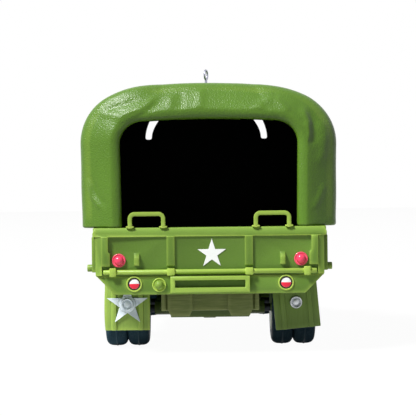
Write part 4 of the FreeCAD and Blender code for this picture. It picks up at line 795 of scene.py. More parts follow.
def rounded_box(low: Sequence[float], high: Sequence[float], radius: float, steps: int = 2) -> Shape:
    """A box with rounded edges, in millimetres.

    Args:
        low: Its lowest corner.
        high: Its highest corner.
        radius: The edges' radius.
        steps: Faces across each rounded edge.

    Returns:
        Points and faces.
    """
    shell = bmesh.new()
    middle = (Vector(low) + Vector(high)) / 2
    size = Vector(high) - Vector(low)
    matrix = Matrix.Translation(middle) @ Matrix.Diagonal((*size, 1.0))
    bmesh.ops.create_cube(shell, size=1.0, matrix=matrix)
    held = min(radius, min(size) * 0.45)
    bmesh.ops.bevel(shell, geom=list(shell.edges), offset=held, segments=steps, profile=0.5, affect="EDGES")
    shell.verts.index_update()
    points = [tuple(vertex.co) for vertex in shell.verts]
    faces = [tuple(vertex.index for vertex in face.verts) for face in shell.faces]
    shell.free()
    return points, faces


def gathered(*parts: Shape) -> Shape:
    """Puts several meshes into one."""
    points: Points = []
    faces: Faces = []
    for some_points, some_faces in parts:
        shift = len(points)
        points += some_points
        faces += [tuple(index + shift for index in face) for face in some_faces]
    return points, faces


def mirrored(part: Shape) -> Shape:
    """The mirror image of a mesh across the middle of the truck."""
    points, faces = part
    return [(-x, y, z) for x, y, z in points], [tuple(reversed(face)) for face in faces]


def solid_mesh(name: str, part: Shape, join: float = 0.0) -> bpy.types.Mesh:
    """Makes a mesh with its faces turned outwards from points in millimetres.

    Args:
        name: The mesh's name.
        part: Its points and faces.
        join: How near points become one, in metres, or 0 to keep them all.

    Returns:
        The mesh.
    """
    points, faces = part
    mesh = bpy.data.meshes.new(name)
    mesh.from_pydata([Vector(point) * MM for point in points], [], faces)
    shell = bmesh.new()
    shell.from_mesh(mesh)
    if join:
        bmesh.ops.remove_doubles(shell, verts=shell.verts, dist=join)
        bmesh.ops.dissolve_degenerate(shell, edges=shell.edges, dist=join)
    bmesh.ops.recalc_face_normals(shell, faces=shell.faces)
    shell.to_mesh(mesh)
    shell.free()
    return mesh


def turned_pair(profile: Profile, sides: int, centre: Triple, along: Along) -> Shape:
    """Turns an outline round a place and round its mirror image across the truck.

    Args:
        profile: Places along the axis and radii.
        sides: How many steps there are round it.
        centre: The place on the right.
        along: The axis.

    Returns:
        Points and faces.
    """
    x, y, z = centre
    return gathered(*[turned(profile, sides, (side * x, y, z), along) for side in (-1, 1)])


@dataclass
class Workshop:
    """Turns meshes into pieces of the truck, and CAD nodes into softened ones."""

    paint: PaintShop
    smooth_angle: float = 38.0
    join_distance: float = 1e-6
    crease_angle: float = 24.0
    flat_angle: float = 0.7
    soft_turn: Pair = (0.8, 0.9999)
    apart_limit: float = 0.94
    beside_limit: float = 0.9
    facing_limit: float = 0.6
    longest_share: float = 0.42

    def piece(self, name: str, part: Shape, finish: Finish, slot: Slot, body: Body = Body.TRUCK,
              replaces: Sequence[str] = (), extra: Finish | None = None,
              extra_test: Test | None = None) -> bpy.types.Object:
        """Makes a piece from points in millimetres.

        Args:
            name: The piece's name.
            part: Its points and faces.
            finish: Its finish.
            slot: The record's slot for that finish; not used.
            body: The body that it rides on.
            replaces: CAD nodes that it stands for.
            extra: A second finish for some faces.
            extra_test: Whether a face with this middle, in millimetres, and normal has the second finish.

        Returns:
            The piece.
        """
        made = linked(name, solid_mesh(name, part, self.join_distance))
        return self.dress(made, finish, body, replaces, extra, extra_test)

    def dress(self, made: bpy.types.Object, finish: Finish, body: Body, replaces: Sequence[str],
              extra: Finish | None, extra_test: Test | None) -> bpy.types.Object:
        """Gives a new object its finish, shading and body, and hides the CAD nodes that it stands for.

        Args:
            made: The object.
            finish: Its finish.
            body: The body that it rides on.
            replaces: CAD nodes that it stands for.
            extra: A second finish for some faces.
            extra_test: Whether a face with this middle, in millimetres, and normal has the second finish.

        Returns:
            The object.
        """
        mesh = made.data
        mesh.materials.clear()
        mesh.materials.append(self.paint.get(finish))
        if extra is not None:
            mesh.materials.append(self.paint.get(extra))
            for face in mesh.polygons:
                face.material_index = 1 if extra_test(face.center / MM, face.normal) else 0
        mesh.shade_smooth()
        mesh.set_sharp_from_angle(angle=math.radians(self.smooth_angle))
        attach(made, body.value)
        if replaces:
            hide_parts(*replaces)
        LOG.info("%s: %d faces on %s", made.name, len(mesh.polygons), body.value)
        return made

    def softened(self, node: str, finish: Finish, slot: Slot, radius: float = 0.16, body: Body = Body.TRUCK,
                 steps: int = 2, extra: Finish | None = None, extra_test: Test | None = None,
                 shape: Callable[[Vector], Vector] | None = None) -> bpy.types.Object:
        """Stands a copy with rounded edges in a CAD node's place.

        Args:
            node: The CAD node.
            finish: Its finish.
            slot: The record's slot for that finish; not used.
            radius: The edges' radius in millimetres, less where the piece is thin.
            body: The body that it rides on.
            steps: Faces across each rounded edge.
            extra: A second finish for some faces.
            extra_test: Whether a face with this middle, in millimetres, and normal has the second finish.
            shape: Moves a point, in millimetres, before the edges are rounded.

        Returns:
            The piece.
        """
        shell = bmesh.new()
        shell.from_mesh(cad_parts[node].data)
        bmesh.ops.remove_doubles(shell, verts=shell.verts, dist=self.join_distance)
        bmesh.ops.dissolve_limit(shell, angle_limit=math.radians(self.flat_angle), verts=shell.verts,
                                 edges=shell.edges)
        if shape is not None:
            for vertex in shell.verts:
                vertex.co = shape(vertex.co / MM) * MM
        weights = shell.edges.layers.float.new("bevel_weight_edge")
        rooms = {edge: self.room(edge) for edge in shell.edges
                 if edge.calc_face_angle(0.0) > math.radians(self.crease_angle)}
        done: set[bmesh.types.BMEdge] = set()
        for tightest in sorted(rooms, key=lambda edge: rooms[edge]):
            run = [tightest]
            while run:
                edge = run.pop()
                if edge not in done:
                    done.add(edge)
                    edge[weights] = min(1.0, rooms[tightest] / (radius * MM))
                    run += [other for vertex in edge.verts for other in vertex.link_edges
                            if other in rooms and other not in done and self.turns_softly(edge, other)]
        mesh = bpy.data.meshes.new(node + "_core")
        shell.to_mesh(mesh)
        shell.free()
        core = linked(node + "_core", mesh)
        bevel = core.modifiers.new("rounding", "BEVEL")
        bevel.width = radius * MM
        bevel.segments = steps
        bevel.limit_method = "WEIGHT"
        bevel.use_clamp_overlap = False
        rounded = applied(core)
        rounded.name = node + "_moulded"
        bpy.data.objects.remove(core)
        made = linked(node + "_moulded", rounded)
        return self.dress(made, finish, body, (node,), extra, extra_test)

    def turns_softly(self, edge: bmesh.types.BMEdge, other: bmesh.types.BMEdge) -> bool:
        """Whether a curved rim runs on from one edge to the next, so that both need the same rounding."""
        first = (edge.verts[1].co - edge.verts[0].co).normalized()
        second = (other.verts[1].co - other.verts[0].co).normalized()
        return self.soft_turn[0] < abs(first.dot(second)) < self.soft_turn[1]

    def room(self, edge: bmesh.types.BMEdge) -> float:
        """How far an edge can be rounded before it meets its neighbours.

        Args:
            edge: The edge.

        Returns:
            A distance in metres.
        """
        room = 1.0
        start, end = edge.verts[0].co, edge.verts[1].co
        ahead = (end - start).normalized()
        for vertex in edge.verts:
            for other in vertex.link_edges:
                away = other.other_vert(vertex).co - vertex.co
                if other is not edge and abs(away.normalized().dot(ahead)) < self.apart_limit:
                    room = min(room, away.length)
        middle = (start + end) / 2
        for face in edge.link_faces:
            for other in face.edges:
                first = other.verts[0].co
                run = other.verts[1].co - first
                unit = run.normalized()
                if other is not edge and abs(unit.dot(ahead)) > self.beside_limit:
                    reach = max(0.0, min(run.length, (middle - first).dot(unit)))
                    gap = middle - first - unit * reach
                    faces_it = abs(gap.normalized().dot(ahead)) < self.facing_limit
                    if gap.length > self.join_distance and faces_it:
                        room = min(room, gap.length)
        return room * self.longest_share


# The canopy

@dataclass(frozen=True)
class Fold:
    """A moulded crease on the canopy's rear wall, drawn through points across and up, in millimetres."""

    points: tuple[Pair, ...]
    width: float
    height: float

    def lift(self, x: float, z: float) -> float:
        """How far the fold lifts the wall at a place.

        Args:
            x: The place across.
            z: The place up.

        Returns:
            The lift in millimetres.
        """
        nearest, share = 1e9, 0.0
        spans = len(self.points) - 1
        for i in range(spans):
            ax, az = self.points[i]
            bx, bz = self.points[i + 1]
            length = (bx - ax) ** 2 + (bz - az) ** 2
            t = max(0.0, min(1.0, ((x - ax) * (bx - ax) + (z - az) * (bz - az)) / length))
            gap = math.hypot(x - ax - (bx - ax) * t, z - az - (bz - az) * t)
            if gap < nearest:
                nearest, share = gap, (i + t) / spans
        fade = smooth(share * 4) * smooth((1 - share) * 4)
        return self.height * fade * math.exp(-((nearest / self.width) ** 2))


@dataclass
class Canopy:
    """The canvas-like canopy: one thick shell with a rolled mouth, a domed rear wall and two front slots."""

    shop: Workshop
    half: float = 24.74
    lean: float = 0.22
    twist: float = 0.008
    twist_blends: Pair = (3.0, 12.0)
    corner_reach: float = 16.0
    corner_drop: float = 11.4
    shoulder_radius: float = 10.2
    crown_rise: float = 0.24
    wall: float = 1.5
    rear_wall: float = 3.0
    mouth_foot: float = 16.72
    mouth_half: float = 16.98
    mouth_spring_z: float = 40.2
    mouth_corner: Pair = (4.9, 4.5)
    mouth_power: float = 2.15
    mouth_rise: float = 0.4
    lip_radius: float = 1.8
    lip_depth: float = 1.1
    wall_slope: float = 0.58
    edge_radius: float = 2.3
    front_radius: float = 1.5
    foot_radius: float = 0.5
    foot_ledge: float = 1.8
    ledge_height: float = 2.0
    ledge_blend: float = 1.2
    folds: tuple[Fold, ...] = (
        Fold(((-22.8, 45.6), (-20.4, 47.9), (-17.0, 49.5), (-13.5, 50.4), (-10.0, 51.0)), 1.5, 0.17),
        Fold(((-20.0, 46.7), (-18.6, 47.2), (-15.6, 47.9), (-12.6, 49.2)), 0.5, -0.16),
        Fold(((-22.0, 46.4), (-20.2, 46.2), (-16.4, 45.4), (-14.2, 46.3), (-12.0, 47.6), (-10.0, 49.2),
              (-8.3, 50.8)), 0.7, 0.2),
        Fold(((-19.4, 43.6), (-16.4, 43.9), (-13.4, 45.3), (-9.9, 47.6), (-8.2, 49.6)), 0.7, -0.12),
        Fold(((-7.1, 49.8), (-7.2, 48.4), (-7.4, 46.4)), 0.6, 0.12),
        Fold(((-5.2, 50.4), (-5.2, 48.8), (-5.4, 46.6)), 0.8, -0.14),
        Fold(((-1.6, 51.2), (-1.5, 48.8), (-1.9, 46.6)), 0.9, 0.18),
        Fold(((-23.4, 34.4), (-22.5, 30.6), (-20.6, 27.6)), 0.35, 0.26),
        Fold(((-22.9, 34.8), (-21.6, 30.9), (-19.4, 28.0)), 0.5, -0.16),
        Fold(((8.6, 46.0), (10.6, 48.2), (13.0, 49.6)), 0.9, 0.2),
        Fold(((12.6, 49.6), (14.2, 47.6), (15.6, 46.0)), 0.8, 0.16),
        Fold(((18.6, 47.2), (20.3, 44.4), (20.2, 41.8), (19.0, 39.4)), 0.85, -0.3),
        Fold(((17.4, 47.6), (19.0, 45.0), (18.9, 42.2), (17.9, 40.0)), 0.75, 0.3),
        Fold(((21.6, 45.8), (22.4, 42.4), (21.9, 38.6), (20.6, 35.6)), 0.9, 0.2),
        Fold(((22.4, 33.0), (21.0, 29.6), (19.6, 27.4)), 0.6, 0.16),
    )
    bows: int = 4
    bow_start: float = 4.0
    bow_blend: float = 4.0
    back_depth: float = 5.5
    back_blend: float = 3.0
    front_keep: Pair = (3.0, 3.0)
    foot_keep: Pair = (1.6, 3.0)
    fold_clear: Pair = (0.3, 1.4)
    lump_clear: Pair = (0.2, 1.5)
    lump_rise: float = 2.0
    sag: float = 0.32
    drape: float = 0.34
    ridge: float = 0.4
    ridge_reach: float = 0.15
    tightness: float = 0.1
    lump: float = 0.1
    lift_limits: Pair = (-0.7, 0.55)
    side_spare: float = 0.1
    outward_share: float = 0.35
    flat_share: float = 0.7
    hold_margin: float = 0.2
    slot_inset: float = 10.6
    slot_drop: float = 8.45
    slot_height: float = 5.7
    slot_widths: Pair = (1.45, 2.5)
    slot_lean: float = 1.75
    slot_curve: float = 1.8
    slot_corner: float = 0.45
    slot_steps: int = 12
    smooth_angle: float = 50.0
    leg_steps: int = 44
    corner_steps: int = 50
    crown_steps: int = 26
    lip_steps: int = 10
    wall_steps: int = 24
    side_steps: int = 100
    rim_steps: int = 8
    front_steps: int = 12
    room_steps: int = 30

    def build(self) -> None:
        """Makes the canopy and stands it in the CAD canopy's place."""
        self.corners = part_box("canopy")
        low, high = node_box("canopy")
        self.rear_y, self.front_y = low.y, high.y
        self.foot_z, self.top_z = low.z, high.z
        outer, mouth = self.outer_line(0.0), self.mouth_line()
        inner = [self.inner_point(*spot) for spot in self.outer_line(self.wall)]
        columns = [self.meridian(*spots) for spots in zip(outer, mouth, inner)]
        count = len(columns[0])
        points: Points = [spot for column in columns for spot in column]
        faces: Faces = []
        for i in range(len(columns) - 1):
            for j in range(count):
                k = (j + 1) % count
                faces.append((i * count + j, i * count + k, (i + 1) * count + k, (i + 1) * count + j))
        faces.append(tuple(range(count)))
        faces.append(tuple(reversed(range((len(columns) - 1) * count, len(points)))))
        made = self.shop.piece("canopy_shell", (points, faces), Finish.CANVAS, Slot.OLIVE, replaces=("canopy",))
        self.sculpt(made.data)
        self.cut_slots(made)
        self.shade_hold(made)

    def arc(self, centre: Pair, radius: float, start: float, end: float, steps: int) -> Line:
        """Points along an arc, without its first one."""
        return [
            (centre[0] + radius * math.cos(start + (end - start) * i / steps),
             centre[1] + radius * math.sin(start + (end - start) * i / steps))
            for i in range(1, steps + 1)
        ]

    def outer_line(self, inset: float) -> Line:
        """The outline across the canopy, from the left foot over the crown to the right foot.

        Args:
            inset: How far inside the outer face it runs.

        Returns:
            Places across and up.
        """
        reach, drop, tight = self.corner_reach, self.corner_drop, self.shoulder_radius
        wide = (reach ** 2 + drop ** 2 - reach * tight * 2) / ((drop - tight) * 2)
        haunch_x = self.half - reach
        haunch_z = self.top_z - self.crown_rise
        shoulder_z = haunch_z - drop
        meet = math.atan2(wide - drop, self.half - tight - haunch_x)
        line = []
        for height in self.leg_heights(shoulder_z):
            share = (height - self.foot_z) / (shoulder_z - self.foot_z)
            line.append((self.half - self.lean * (1 - share) - inset, height))
        tight_steps = round(self.corner_steps * 0.45)
        line += self.arc((self.half - tight, shoulder_z), tight - inset, 0.0, meet, tight_steps)
        line += self.arc((haunch_x, haunch_z - wide), wide - inset, meet, math.pi / 2,
                         self.corner_steps - tight_steps)
        for i in range(1, self.crown_steps + 1):
            share = i / self.crown_steps
            line.append((haunch_x * (1 - share), haunch_z - inset + self.crown_rise * (1 - (1 - share) ** 2)))
        return self.whole(line)

    def mouth_line(self) -> Line:
        """The mouth's outline, with a point for each point of the outer line."""
        across, up = self.mouth_corner
        line = []
        for height in self.leg_heights(self.mouth_spring_z):
            share = (height - self.foot_z) / (self.mouth_spring_z - self.foot_z)
            line.append((self.mouth_foot + (self.mouth_half - self.mouth_foot) * share, height))
        for i in range(1, self.corner_steps + 1):
            angle = math.pi / 2 * i / self.corner_steps
            c, s = math.cos(angle), math.sin(angle)
            reach = (c ** self.mouth_power + s ** self.mouth_power) ** (-1 / self.mouth_power)
            line.append((self.mouth_half - across + across * c * reach, self.mouth_spring_z + up * s * reach))
        top_x, top_z = line[-1]
        for i in range(1, self.crown_steps + 1):
            share = i / self.crown_steps
            line.append((top_x * (1 - share), top_z + self.mouth_rise * (1 - (1 - share) ** 2)))
        return self.whole(line)

    def leg_heights(self, top: float) -> list[float]:
        """Heights up a leg, closer together at its rounded foot."""
        fine = [self.foot_z + self.foot_radius * i / 5 for i in range(5)]
        start = self.foot_z + self.foot_radius
        rest = self.leg_steps - len(fine)
        return fine + [start + (top - start) * i / rest for i in range(rest + 1)]

    def whole(self, right: Line) -> Line:
        """Joins a right half, from foot to crown, with its mirror image, starting at the left foot."""
        return [(-x, z) for x, z in right] + list(reversed(right[:-1]))

    def inner_point(self, x: float, z: float) -> Pair:
        """Draws the inside in towards the foot, where the wall is thicker."""
        ledge = self.foot_ledge * smooth((self.foot_z + self.ledge_height - z) / self.ledge_blend)
        return (x - math.copysign(ledge, x), z)

    def meridian(self, outer: Pair, mouth: Pair, inner: Pair) -> Points:
        """One closed loop of the shell's section, from the mouth round the outside and back inside.

        Args:
            outer: The place on the outer line.
            mouth: The place on the mouth's line.
            inner: The place on the inside's line.

        Returns:
            The loop's points.
        """
        across = Vector((outer[0] - mouth[0], outer[1] - mouth[1]))
        width = across.length
        unit = across / width
        base = Vector((0.0, self.foot_z))
        loop: Points = []

        def put(out: float, y: float) -> None:
            """Adds a point at a distance out from the mouth."""
            spot = Vector(mouth) + unit * out
            loop.append((spot.x, y, spot.y))

        def shrink(line: Pair, share: float, y: float) -> None:
            """Adds a point on the front wall, at a share of the way out from the middle of its foot."""
            spot = base + (Vector(line) - base) * share
            loop.append((spot.x, y, spot.y))

        lip, depth, edge = self.lip_radius, self.lip_depth, self.edge_radius
        tilt = math.atan(self.wall_slope)
        for i in range(4):
            put(0.0, self.rear_y + self.rear_wall - (self.rear_wall - depth) * i / 4)
        for i in range(self.lip_steps + 1):
            angle = math.pi / 2 * i / self.lip_steps
            put(lip * (1 - math.cos(angle)), self.rear_y + depth * (1 - math.sin(angle)))
        wall_end = width - edge * (1 - math.sin(tilt))
        slope_y = self.rear_y + self.wall_slope * (wall_end - lip)
        for i in range(1, self.wall_steps):
            share = i / self.wall_steps
            put(lip + (wall_end - lip) * share, self.rear_y + (slope_y - self.rear_y) * share ** 1.2)
        start, end = slope_y + edge * math.cos(tilt), self.front_y - self.front_radius
        for i in range(self.lip_steps + 1):
            angle = tilt + (math.pi / 2 - tilt) * i / self.lip_steps
            put(wall_end + edge * (math.sin(angle) - math.sin(tilt)), start - edge * math.cos(angle))
        for i in range(1, self.side_steps):
            put(width, start + (end - start) * i / self.side_steps)
        reach = (Vector(outer) - base).length
        for i in range(self.rim_steps + 1):
            angle = math.pi / 2 * i / self.rim_steps
            inset = self.front_radius * (1 - math.cos(angle))
            shrink(outer, 1 - inset / reach, end + self.front_radius * math.sin(angle))
        front_share = 1 - self.front_radius / reach
        for i in range(1, self.front_steps + 1):
            shrink(outer, front_share * (1 - i / self.front_steps), self.front_y)
        inner_front = self.front_y - self.wall
        for i in range(self.rim_steps + 1):
            shrink(inner, i / self.rim_steps, inner_front)
        room_y = self.rear_y + self.rear_wall
        for i in range(1, self.room_steps + 1):
            loop.append((inner[0], inner_front + (room_y - inner_front) * i / self.room_steps, inner[1]))
        back = Vector(inner) - Vector(mouth)
        for i in range(1, 3):
            spot = Vector(inner) - back * i / 3
            loop.append((spot.x, room_y, spot.y))
        return loop

    def is_outside(self, x: float, y: float, z: float, normal: Vector) -> bool:
        """Whether a point with this normal is on the outer skin, which folds and sags shape."""
        rear, front = self.rear_y + self.rear_wall, self.front_y - self.wall
        if y < rear - self.hold_margin or y > front + self.hold_margin:
            return True
        return self.outward(x, z, normal) > self.outward_share

    def outward(self, x: float, z: float, normal: Vector) -> float:
        """How squarely a normal points away from the middle of the canopy's foot, from -1 to 1."""
        rise = z - self.foot_z
        return (normal.x * x + normal.z * rise) / max(math.hypot(x, rise), 1e-9)

    def sculpt(self, mesh: bpy.types.Mesh) -> None:
        """Moves the outer skin for folds, sags between the bows, slow lumps and the rounded foot.

        Args:
            mesh: The canopy's mesh.
        """
        normals = [vertex.normal.copy() for vertex in mesh.vertices]
        for vertex, normal in zip(mesh.vertices, normals):
            x, y, z = vertex.co / MM
            if not self.is_outside(x, y, z, normal):
                continue
            lift = self.fold_lift(x, y, z) + self.drape_lift(x, y, z) + self.lump_lift(x, y, z)
            lift = max(self.lift_limits[0], min(self.lift_limits[1], lift))
            foot = (z - self.foot_z) / self.foot_radius
            if foot < 1.0:
                lift -= self.foot_radius * (1 - math.sqrt(max(0.0, 1 - (1 - foot) ** 2)))
            drop = self.twist * x * smooth(self.mouth_gap(x, z) / self.twist_blends[0])
            drop *= smooth((z - self.foot_z) / self.twist_blends[1])
            moved = vertex.co + Vector((normal.x, normal.y, max(normal.z, 0.0))) * (lift * MM)
            moved.z -= drop * MM
            vertex.co = self.held(moved)
        mesh.update()

    def back_share(self, y: float) -> float:
        """How much a place belongs to the rear wall."""
        return smooth((self.rear_y + self.back_depth - y) / self.back_blend)

    def fold_lift(self, x: float, y: float, z: float) -> float:
        """How far the folds lift the rear wall's skin, in millimetres."""
        if self.back_share(y) == 0.0:
            return 0.0
        clear = ramp(self.mouth_gap(x, z), *self.fold_clear)
        return self.back_share(y) * clear * sum(fold.lift(x, z) for fold in self.folds)

    def drape_lift(self, x: float, y: float, z: float) -> float:
        """How far sides and roof sag between the bows and in slow drapes, in millimetres and below 0."""
        ahead = y - self.rear_y - self.bow_start
        side = smooth(ahead / self.bow_blend) * ramp(self.front_y - y, *self.front_keep)
        if side == 0.0:
            return 0.0
        pitch = (self.front_y - self.rear_y - self.bow_start * 2) / self.bows
        drape = noise.noise(DRAPE_WAVES @ Vector((x, y, z))) * self.drape
        ridge = self.ridge_reach - abs(noise.noise(RIDGE_WAVES @ Vector((x, y, z)) + RIDGE_START))
        slack = min(0.0, drape + ridge * self.ridge - self.tightness)
        above = ramp(z - self.foot_z, *self.foot_keep)
        return side * above * (slack - self.sag * math.sin(math.pi * ahead / pitch) ** 2)

    def lump_lift(self, x: float, y: float, z: float) -> float:
        """How far slow lumps lift the skin, in millimetres, less at the foot and at the mouth."""
        lump = noise.noise(Vector((x, y, z)) * LUMP_WAVES + LUMP_START) * self.lump
        clear = ramp(self.mouth_gap(x, z), *self.lump_clear) if self.back_share(y) > 0.0 else 1.0
        return lump * clear * smooth((z - self.foot_z) / self.lump_rise)

    def held(self, spot: Vector) -> Vector:
        """Keeps a point of the skin inside the CAD canopy's box, or just beside it."""
        spare = (self.side_spare * MM, 0.0, 0.0)
        return Vector([min(max(spot[i], self.corners[0][i] - spare[i]), self.corners[1][i] + spare[i])
                       for i in range(3)])

    def mouth_gap(self, x: float, z: float) -> float:
        """How far a place on the rear wall is from the mouth."""
        across, up = self.mouth_corner
        corner_x, corner_z = self.mouth_half - across, self.mouth_spring_z
        if z < corner_z:
            return abs(x) - self.mouth_half
        if abs(x) < corner_x:
            return z - corner_z - up
        return math.hypot((abs(x) - corner_x) / across, (z - corner_z) / up) * up - up

    def slot_outline(self, side: int) -> Line:
        """The outline of a front slot, which bows towards the middle as it rises.

        Args:
            side: 1 for the right slot and -1 for the left.

        Returns:
            Places across and up.
        """
        width, top_width = self.slot_widths
        corner, lean = self.slot_corner, self.slot_lean
        bottom_z = self.top_z - self.slot_drop
        outer = self.half - self.slot_inset
        left, right = [], []
        for i in range(self.slot_steps + 1):
            share = i / self.slot_steps
            z = bottom_z + corner + (self.slot_height - corner) * share
            bow = share ** self.slot_curve
            right.append((outer - lean * bow, z))
            left.append((outer - width - (lean + top_width - width) * bow, z))
        low = []
        for centre, first in ((outer - width + corner, math.pi), (outer - corner, math.pi * 1.5)):
            for i in range(5):
                angle = first + math.pi / 2 * i / 4
                low.append((centre + corner * math.cos(angle), bottom_z + corner + corner * math.sin(angle)))
        outline = right + list(reversed(left)) + low
        return [(side * x, z) for x, z in outline]

    def cut_slots(self, made: bpy.types.Object) -> None:
        """Cuts the two see-through slots in the front wall.

        Args:
            made: The canopy.
        """
        parts = []
        for side in (-1, 1):
            outline = self.slot_outline(side)
            count = len(outline)
            points = [(x, self.front_y - self.wall - 1.0, z) for x, z in outline]
            points += [(x, self.front_y + 1.0, z) for x, z in outline]
            faces = ring_faces(count, 2, False) + [tuple(range(count)), tuple(range(count, count * 2))]
            parts.append((points, faces))
        cutter = linked("slot_cutters", solid_mesh("slot_cutters", gathered(*parts)))
        boolean = made.modifiers.new("slots", "BOOLEAN")
        boolean.operation = "DIFFERENCE"
        boolean.solver = "EXACT"
        boolean.object = cutter
        cut = applied(made)
        made.modifiers.clear()
        made.data = cut
        bpy.data.objects.remove(cutter)

    def shade_hold(self, made: bpy.types.Object) -> None:
        """Gives the faces inside the canopy, and the mouth's reveal, a near-black finish as painted shade.

        Args:
            made: The canopy.
        """
        mesh = made.data
        mesh.materials.clear()
        for finish in (Finish.CANVAS, Finish.HOLD):
            mesh.materials.append(self.shop.paint.get(finish))
        room_y = self.rear_y + self.rear_wall
        for face in mesh.polygons:
            x, y, z = face.center / MM
            deep = room_y - 0.02 < y < self.front_y - self.wall + 0.12
            inward = self.outward(x, z, face.normal) < -self.outward_share
            back_wall = face.normal.y > self.flat_share and y < room_y + self.hold_margin
            front_wall = face.normal.y < -self.flat_share and y > self.front_y - self.wall - self.hold_margin
            in_mouth = self.rear_y + self.lip_depth < y <= room_y and self.mouth_gap(x, z) < 0.3
            reveal = in_mouth and abs(face.normal.y) < 0.5
            face.material_index = 1 if (deep and (inward or back_wall or front_wall)) or reveal else 0
        mesh.shade_smooth()
        mesh.set_sharp_from_angle(angle=math.radians(self.smooth_angle))


@dataclass
class HangerEyelet:
    """The bent wire that the toy hangs by."""

    shop: Workshop
    wire: float = 0.22
    ring_radius: float = 1.07
    stem: float = 4.55
    root: float = 0.5
    place_y: float = -2.0
    turn: float = 72.0
    plug: Profile = ((-0.3, 0.0), (-0.3, 0.95), (0.12, 0.9), (0.22, 0.7), (0.22, 0.0))
    plug_sides: int = 28
    wire_sides: int = 14
    stem_steps: int = 6
    ring_steps: int = 56

    def build(self) -> None:
        """Makes the wire, up one stem, round the ring and down the other, and its plug."""
        foot = node_box("canopy")[1].z
        ring, ring_z = self.ring_radius, foot + self.stem + self.ring_radius
        turn = Matrix.Rotation(math.radians(self.turn), 3, "Z")
        gap = self.wire * 1.02
        length = self.stem + self.root
        path = [Vector((gap, 0.0, foot - self.root + length * i / self.stem_steps))
                for i in range(self.stem_steps + 1)]
        down = [Vector((-gap, 0.0, spot.z)) for spot in reversed(path)]
        start = math.asin(gap / ring)
        for i in range(1, self.ring_steps):
            angle = -math.pi / 2 + start + (math.tau - start * 2) * i / self.ring_steps
            path.append(Vector((ring * math.cos(angle), 0.0, ring_z + ring * math.sin(angle))))
        turned_path = [turn @ spot + Vector((0.0, self.place_y, 0.0)) for spot in path + down]
        side = turn @ Vector((0.0, 1.0, 0.0))
        wire = swept(turned_path, round_outline(self.wire, self.wire_sides), side)
        plug = turned(self.plug, self.plug_sides, (0.0, self.place_y, foot), Along.UP)
        self.shop.piece("hanger_wire", wire, Finish.WIRE, Slot.WIRE, replaces=("hanger_eyelet",))
        self.shop.piece("hanger_plug", plug, Finish.CANVAS, Slot.OLIVE)


# The tail

def rimmed_profile(radius: float, rim: float, rise: float, ring: float = 0.2,
                   groove: float = 0.14) -> Line:
    """A button with a raised ring round it, a groove inside the ring and a domed middle.

    Args:
        radius: Its radius.
        rim: The ring's height.
        rise: The dome's height above the ring.
        ring: The ring's width.
        groove: The groove's depth and half its width.

    Returns:
        Places along its axis and radii.
    """
    inner = radius - ring
    start = inner - groove
    profile = [(-0.15, 0.0), (-0.15, radius), (rim - 0.07, radius), (rim - 0.015, radius - 0.05),
               (rim, radius - ring / 2), (rim - 0.015, inner + 0.03), (rim - 0.06, inner),
               (rim - groove, inner - groove * 0.4), (rim - groove * 0.85, start)]
    low = rim - groove * 0.85
    for i in range(1, 10):
        angle = math.pi / 2 * i / 9.5
        profile.append((low + (rise + rim - low) * math.sin(angle), start * math.cos(angle)))
    profile.append((rim + rise, 0.0))
    return profile


def dome_profile(radius: float, rim: float, rise: float, steps: int = 9) -> Line:
    """A button with a straight rim, a small round-over and a domed face.

    Args:
        radius: Its radius.
        rim: The rim's height.
        rise: The dome's height above the rim.
        steps: Points across the dome.

    Returns:
        Places along its axis and radii.
    """
    ball = (radius ** 2 + rise ** 2) / (rise * 2)
    profile = [(-0.15, 0.0), (-0.15, radius), (rim * 0.8, radius)]
    for i in range(1, steps + 1):
        reach = radius * math.cos(math.pi / 2 * i / (steps + 0.5)) * 0.985
        profile.append((rim + rise - (ball - math.sqrt(ball ** 2 - reach ** 2)), reach))
    profile.append((rim + rise, 0.0))
    return profile


